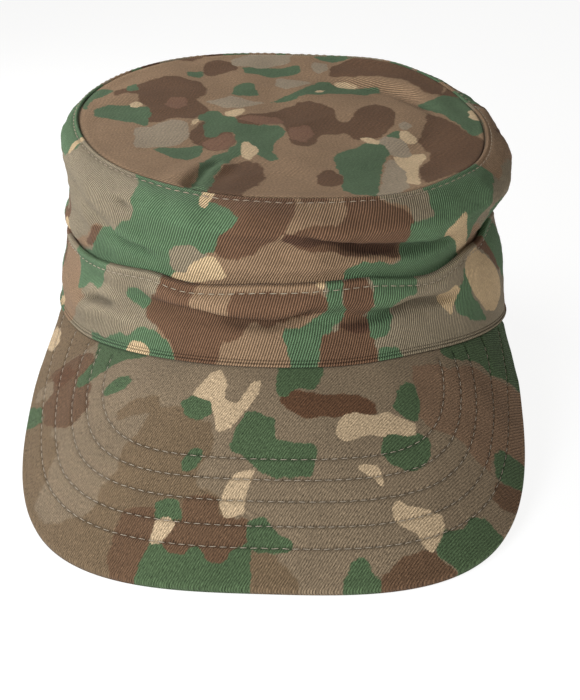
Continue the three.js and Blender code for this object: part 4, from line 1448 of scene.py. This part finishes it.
# The peak's print: x across, and y towards the front, which all_patches stretches down the slope
PEAK_PATCHES = {
    "khaki": (
        ((-54, 7), (-46, 5), (-38, 6), (-38, 10), (-30, 11), (-24, 16), (-19, 18), (-18, 26), (-23, 29),
            (-22, 35), (-14, 38), (-8, 46), (-10, 62), (-66, 62), (-90, 40), (-84, 20), (-78, 32),
            (-70, 36), (-63, 37), (-57, 34), (-56, 30), (-51, 26), (-50, 20), (-44, 15), (-41, 11),
            (-53, 10)),
        ((-100, -72), (-80, -72), (-78, -60), (-70, -40), (-66, -26), (-80, -27), (-84, -22), (-86, -13),
            (-80, -4), (-80, 1), (-75, 7), (-77, 13), (-78, 18), (-81, 23), (-82, 27), (-76, 33),
            (-71, 35), (-64, 35.4), (-58, 38), (-51, 43), (-60, 60), (-90, 44), (-106, 10)),
        ((-6, 54), (-4, 50), (3, 50), (8, 54), (13, 57), (10, 62), (-6, 62)),
    ),
    "russet": (
        ((49, -10), (53, -12), (59, -15.5), (63, -15.6), (67, -20), (72, -24), (78, -25), (83, -27),
            (100, -34), (100, 0), (85, 1), (80, 3), (78, 8), (77, 13), (72, 12), (68, 9), (64, 8),
            (59, 9.4), (54, 9), (51, 7), (51, 0)),
    ),
    "brown": (
        ((-86, -27), (-76, -27), (-68, -24), (-65, -17), (-68, -13), (-66, -8), (-65, -1), (-70, 3.4),
            (-76, 2), (-83, -4.6), (-86, -14), (-82, -16)),
        ((-48, 38), (-42, 38), (-37, 39.4), (-28, 42), (-27.4, 37), (-22, 36.6), (-15, 37.4), (-15, 42),
            (-4.6, 42), (-4, 49), (-7, 51), (-10.6, 50), (-12, 54), (-17, 54), (-22, 50), (-28, 52),
            (-32, 50), (-37.4, 49), (-40, 53), (-42, 60), (-49, 58), (-52, 49), (-50, 44), (-49, 41)),
        ((38, 54), (42.4, 50.6), (46, 48), (51.6, 45), (55.4, 44.6), (60, 46), (66, 48), (58, 58), (38, 62)),
        ((78.6, 15), (83, 13), (92, 9), (92, 18), (84, 21), (80, 22.4), (77, 21)),
    ),
    "dark": (
        ((3.5, 11), (6, 7), (12, 8), (18, 8), (24, 7), (30, 6), (36, 7.5), (37.5, 11), (30, 14),
            (22, 14.5), (12, 16), (6, 14)),
        ((-84, -24), (-77, -25), (-73, -18), (-80, -16)),
    ),
    "green": (
        ((-100, -26), (-92, -19), (-86, -13), (-85, -8), (-88, -8), (-100, -14)),
        ((-72.5, -15.6), (-70, -16.4), (-66, -19), (-66, -30), (-57, -24), (-43, -10), (-55, -13),
            (-62, -11.6), (-69, -10.4), (-72, -11.4)),
        ((-60.5, -4), (-55, -6), (-50.5, -5), (-49, -2), (-53, 0.4), (-59, -0.6)),
        ((-30.5, 10), (-26, 8), (-20, 11), (-19, 15), (-24, 16.4), (-29, 14)),
        ((-11.6, 20), (-8, 15), (-5, 14.6), (2.4, 17), (2.8, 22.8), (9, 23), (16.6, 23.2), (16.6, 27),
            (15, 32.4), (4, 32.2), (-1.4, 31.6), (-5.6, 29.4), (-8, 27), (-12.6, 25.6)),
        ((-28.4, 27), (-25, 24), (-21.6, 25.6), (-23, 30), (-28, 30.4)),
        ((-37.4, 37), (-28, 37.4), (-27.4, 42.8), (-36, 41.6)),
        ((-42, 56), (-39.6, 50.4), (-37, 46.6), (-33.6, 47.6), (-31, 50.4), (-26, 51), (-22, 48.4),
            (-18, 52.4), (-13, 53.4), (-10.6, 49.6), (-4, 47.4), (-3.6, 64), (-20, 66), (-44, 64)),
        ((-5.4, 43), (0, 42), (3, 45), (9.6, 48), (8, 50.4), (-2, 50.4), (-5.4, 48)),
        ((1.6, 5), (3, 0), (8, -4), (18.4, -4), (17.4, 4), (15, 7), (9, 7.4), (5.4, 10), (3, 10)),
        ((42, 7.4), (44, 1), (46, -3.4), (51, -3.4), (52, 5), (51, 10.4), (45, 9.4)),
        ((38, 19), (42, 14.6), (46, 14), (51, 13), (54.6, 12.6), (55.6, 16), (54, 21), (50.4, 24),
            (45, 25.4), (41, 25), (39, 23.6)),
        ((60, -21), (64, -36), (72, -42), (80, -50), (86, -72), (100, -76), (100, -34), (86, -30),
            (81, -26), (76, -28), (70, -24.6), (65, -21.6)),
        ((78.6, 5.4), (82, 1.8), (96, -1), (96, 8), (83, 13), (78.6, 13)),
        ((57, 45), (57, 42.6), (58, 38), (63, 36.6), (66.4, 35), (68.8, 30), (74, 28.6), (79, 30),
            (84, 32), (76, 42), (66, 48)),
        ((25.6, 58), (27.6, 53), (29, 50.6), (31.6, 49.6), (34.4, 50.6), (36, 53), (38.6, 55), (38, 62),
            (25, 62)),
    ),
    "clear": (
        ((-91, -24), (-86, -24), (-82.6, -21), (-84.6, -17), (-90, -18.6)),
    ),
    "sand": (
        ((-27.4, 8), (-21, 1.8), (-17, 0.8), (-15, 5), (-15, 11), (-11, 12), (-6, 5.8), (-3, 5.4),
            (-4, 10), (-9, 16), (-13, 19.6), (-17, 20.4), (-19, 15), (-20, 11), (-26, 8.8)),
        ((-37.4, 46), (-36, 42), (-31.4, 41.4), (-29, 43.4), (-31.4, 46), (-34.4, 48), (-37.6, 47.4)),
        ((-14, 36), (-11, 32), (-7, 30.6), (-3.6, 30.6), (-6.6, 37), (-6.6, 41.6), (-13, 42.6),
            (-15.4, 39)),
        ((22.6, 18), (25, 13.8), (29, 12), (33, 12), (36.6, 11.4), (40.4, 9.4), (44.4, 9.8), (50.4, 10),
            (50.6, 13.6), (46, 15), (42.4, 15.6), (38.4, 18), (35.8, 17.8), (32, 18.8), (29.2, 21),
            (25.4, 21.6), (23, 20)),
        ((30, 28.2), (33, 26.8), (37, 26.4), (39, 28.8), (39.2, 31.6), (37.4, 31.8), (35.8, 30), (33, 29.4)),
        ((41.6, 36), (44, 34), (47.6, 34.8), (53, 33.8), (59, 33.6), (59.8, 37), (58, 41.6), (55.4, 45.2),
            (52.4, 44.4), (51, 42), (47.4, 41), (43.8, 40.4), (42, 38.4)),
        ((-92, -58), (-88, -56), (-85, -47), (-84.6, -42), (-88.4, -41.6), (-92.4, -50)),
    ),
}
peak_scatter = scatter_patches(47, (130, -110), (350, 90), lambda x, y, reach: False)
peak = sew(
    "peak_cloth",
    peak_loop.reshape(-1, 3),
    loop_quads(peak_rows, PEAK_STEPS, True, False),
    NO_TRIANGLES,
    peak_chart.reshape(-1, 2),
    all_patches(PEAK_PATCHES, peak_scatter, PEAK_SLOPE),
    {"wear_and_shading": peak_wear_and_shading.ravel(), "reverse": np.zeros(peak_rows * PEAK_STEPS)},
)

# The two ends of the peak are closed with a face each
bpy.ops.object.mode_set(mode="EDIT")
bpy.ops.mesh.select_mode(type="EDGE")
bpy.ops.mesh.select_all(action="DESELECT")
bpy.ops.mesh.select_non_manifold()
bpy.ops.mesh.edge_face_add()
bpy.ops.object.mode_set(mode="OBJECT")
PEAK_INKS = {
    "khaki": (0.165, 0.112, 0.065),
    "brown": (0.13, 0.074, 0.042),
    "dark": (0.112, 0.055, 0.029),
    "russet": (0.205, 0.126, 0.077),
    "green": (0.072, 0.11, 0.053),
    "clear": (0.211, 0.155, 0.1),
    "sand": (0.49, 0.36, 0.226),
}
peak.data.materials.append(camouflage_twill(
    "twill_of_peak", PEAK_INKS, rib_angle=-58, rib_pitch=0.8, rib_shading=0.18, speckle=2.4,
))
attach(peak, "root")
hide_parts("peak")
peak_thread = thread_rows(
    "peak_thread",
    peak_stitches,
    PEAK_STITCH_PITCH,
    0.13,
    sewing_thread("thread_of_peak", (0.42, 0.35, 0.27)),
)
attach(peak_thread, "root")

# The stage is a plain pale floor that glows a little, as a lit table does, with a soft lamp in front at
# the left, one behind at the left and a weak one at the right, in an even white room.
floor_mesh = bpy.data.meshes.new("floor")
floor_mesh.from_pydata([(-4, -4, 0), (4, -4, 0), (4, 4, 0), (-4, 4, 0)], [], [(0, 1, 2, 3)])
floor = add_piece("floor", floor_mesh)
floor_mesh.materials.append(finish("floor_paper", {
    "Base Color": (0.2, 0.2, 0.2, 1),
    "Emission Color": (1, 1, 1, 1),
    "Emission Strength": 0.88,
    "Roughness": 0.9,
    "Specular IOR Level": 0,
})[0])

LAMPS = table(
    "name place across watts colour",
    ("key_lamp", (-0.21, -0.38, 0.25), 0.22, 2.05, (0.93, 0.97, 1)),
    ("top_lamp", (-0.3, 0.2, 0.33), 0.3, 1.5, (1, 1, 1)),
    ("fill_lamp", (0.36, -0.22, 0.2), 0.3, 0.1, (1, 0.96, 0.9)),
)
LAMPS_AIM = Vector((0, 0, 0.05))
for row in LAMPS:
    lamp_data = bpy.data.lights.new(row["name"], "AREA")
    lamp_data.shape = "SQUARE"
    lamp_data.size = row["across"]
    lamp_data.energy = row["watts"]
    lamp_data.color = row["colour"]
    lamp = bpy.data.objects.new(row["name"], lamp_data)
    lamp.location = row["place"]
    lamp.rotation_euler = (LAMPS_AIM - lamp.location).to_track_quat("-Z", "Y").to_euler()
    bpy.context.scene.collection.objects.link(lamp)
room = bpy.data.worlds.new("white_room")
room.use_nodes = True
room.node_tree.nodes["Background"].inputs["Color"].default_value = (1, 0.97, 0.9, 1)
room.node_tree.nodes["Background"].inputs["Strength"].default_value = 0.25
bpy.context.scene.world = room
bpy.context.scene.view_settings.view_transform = "Standard"
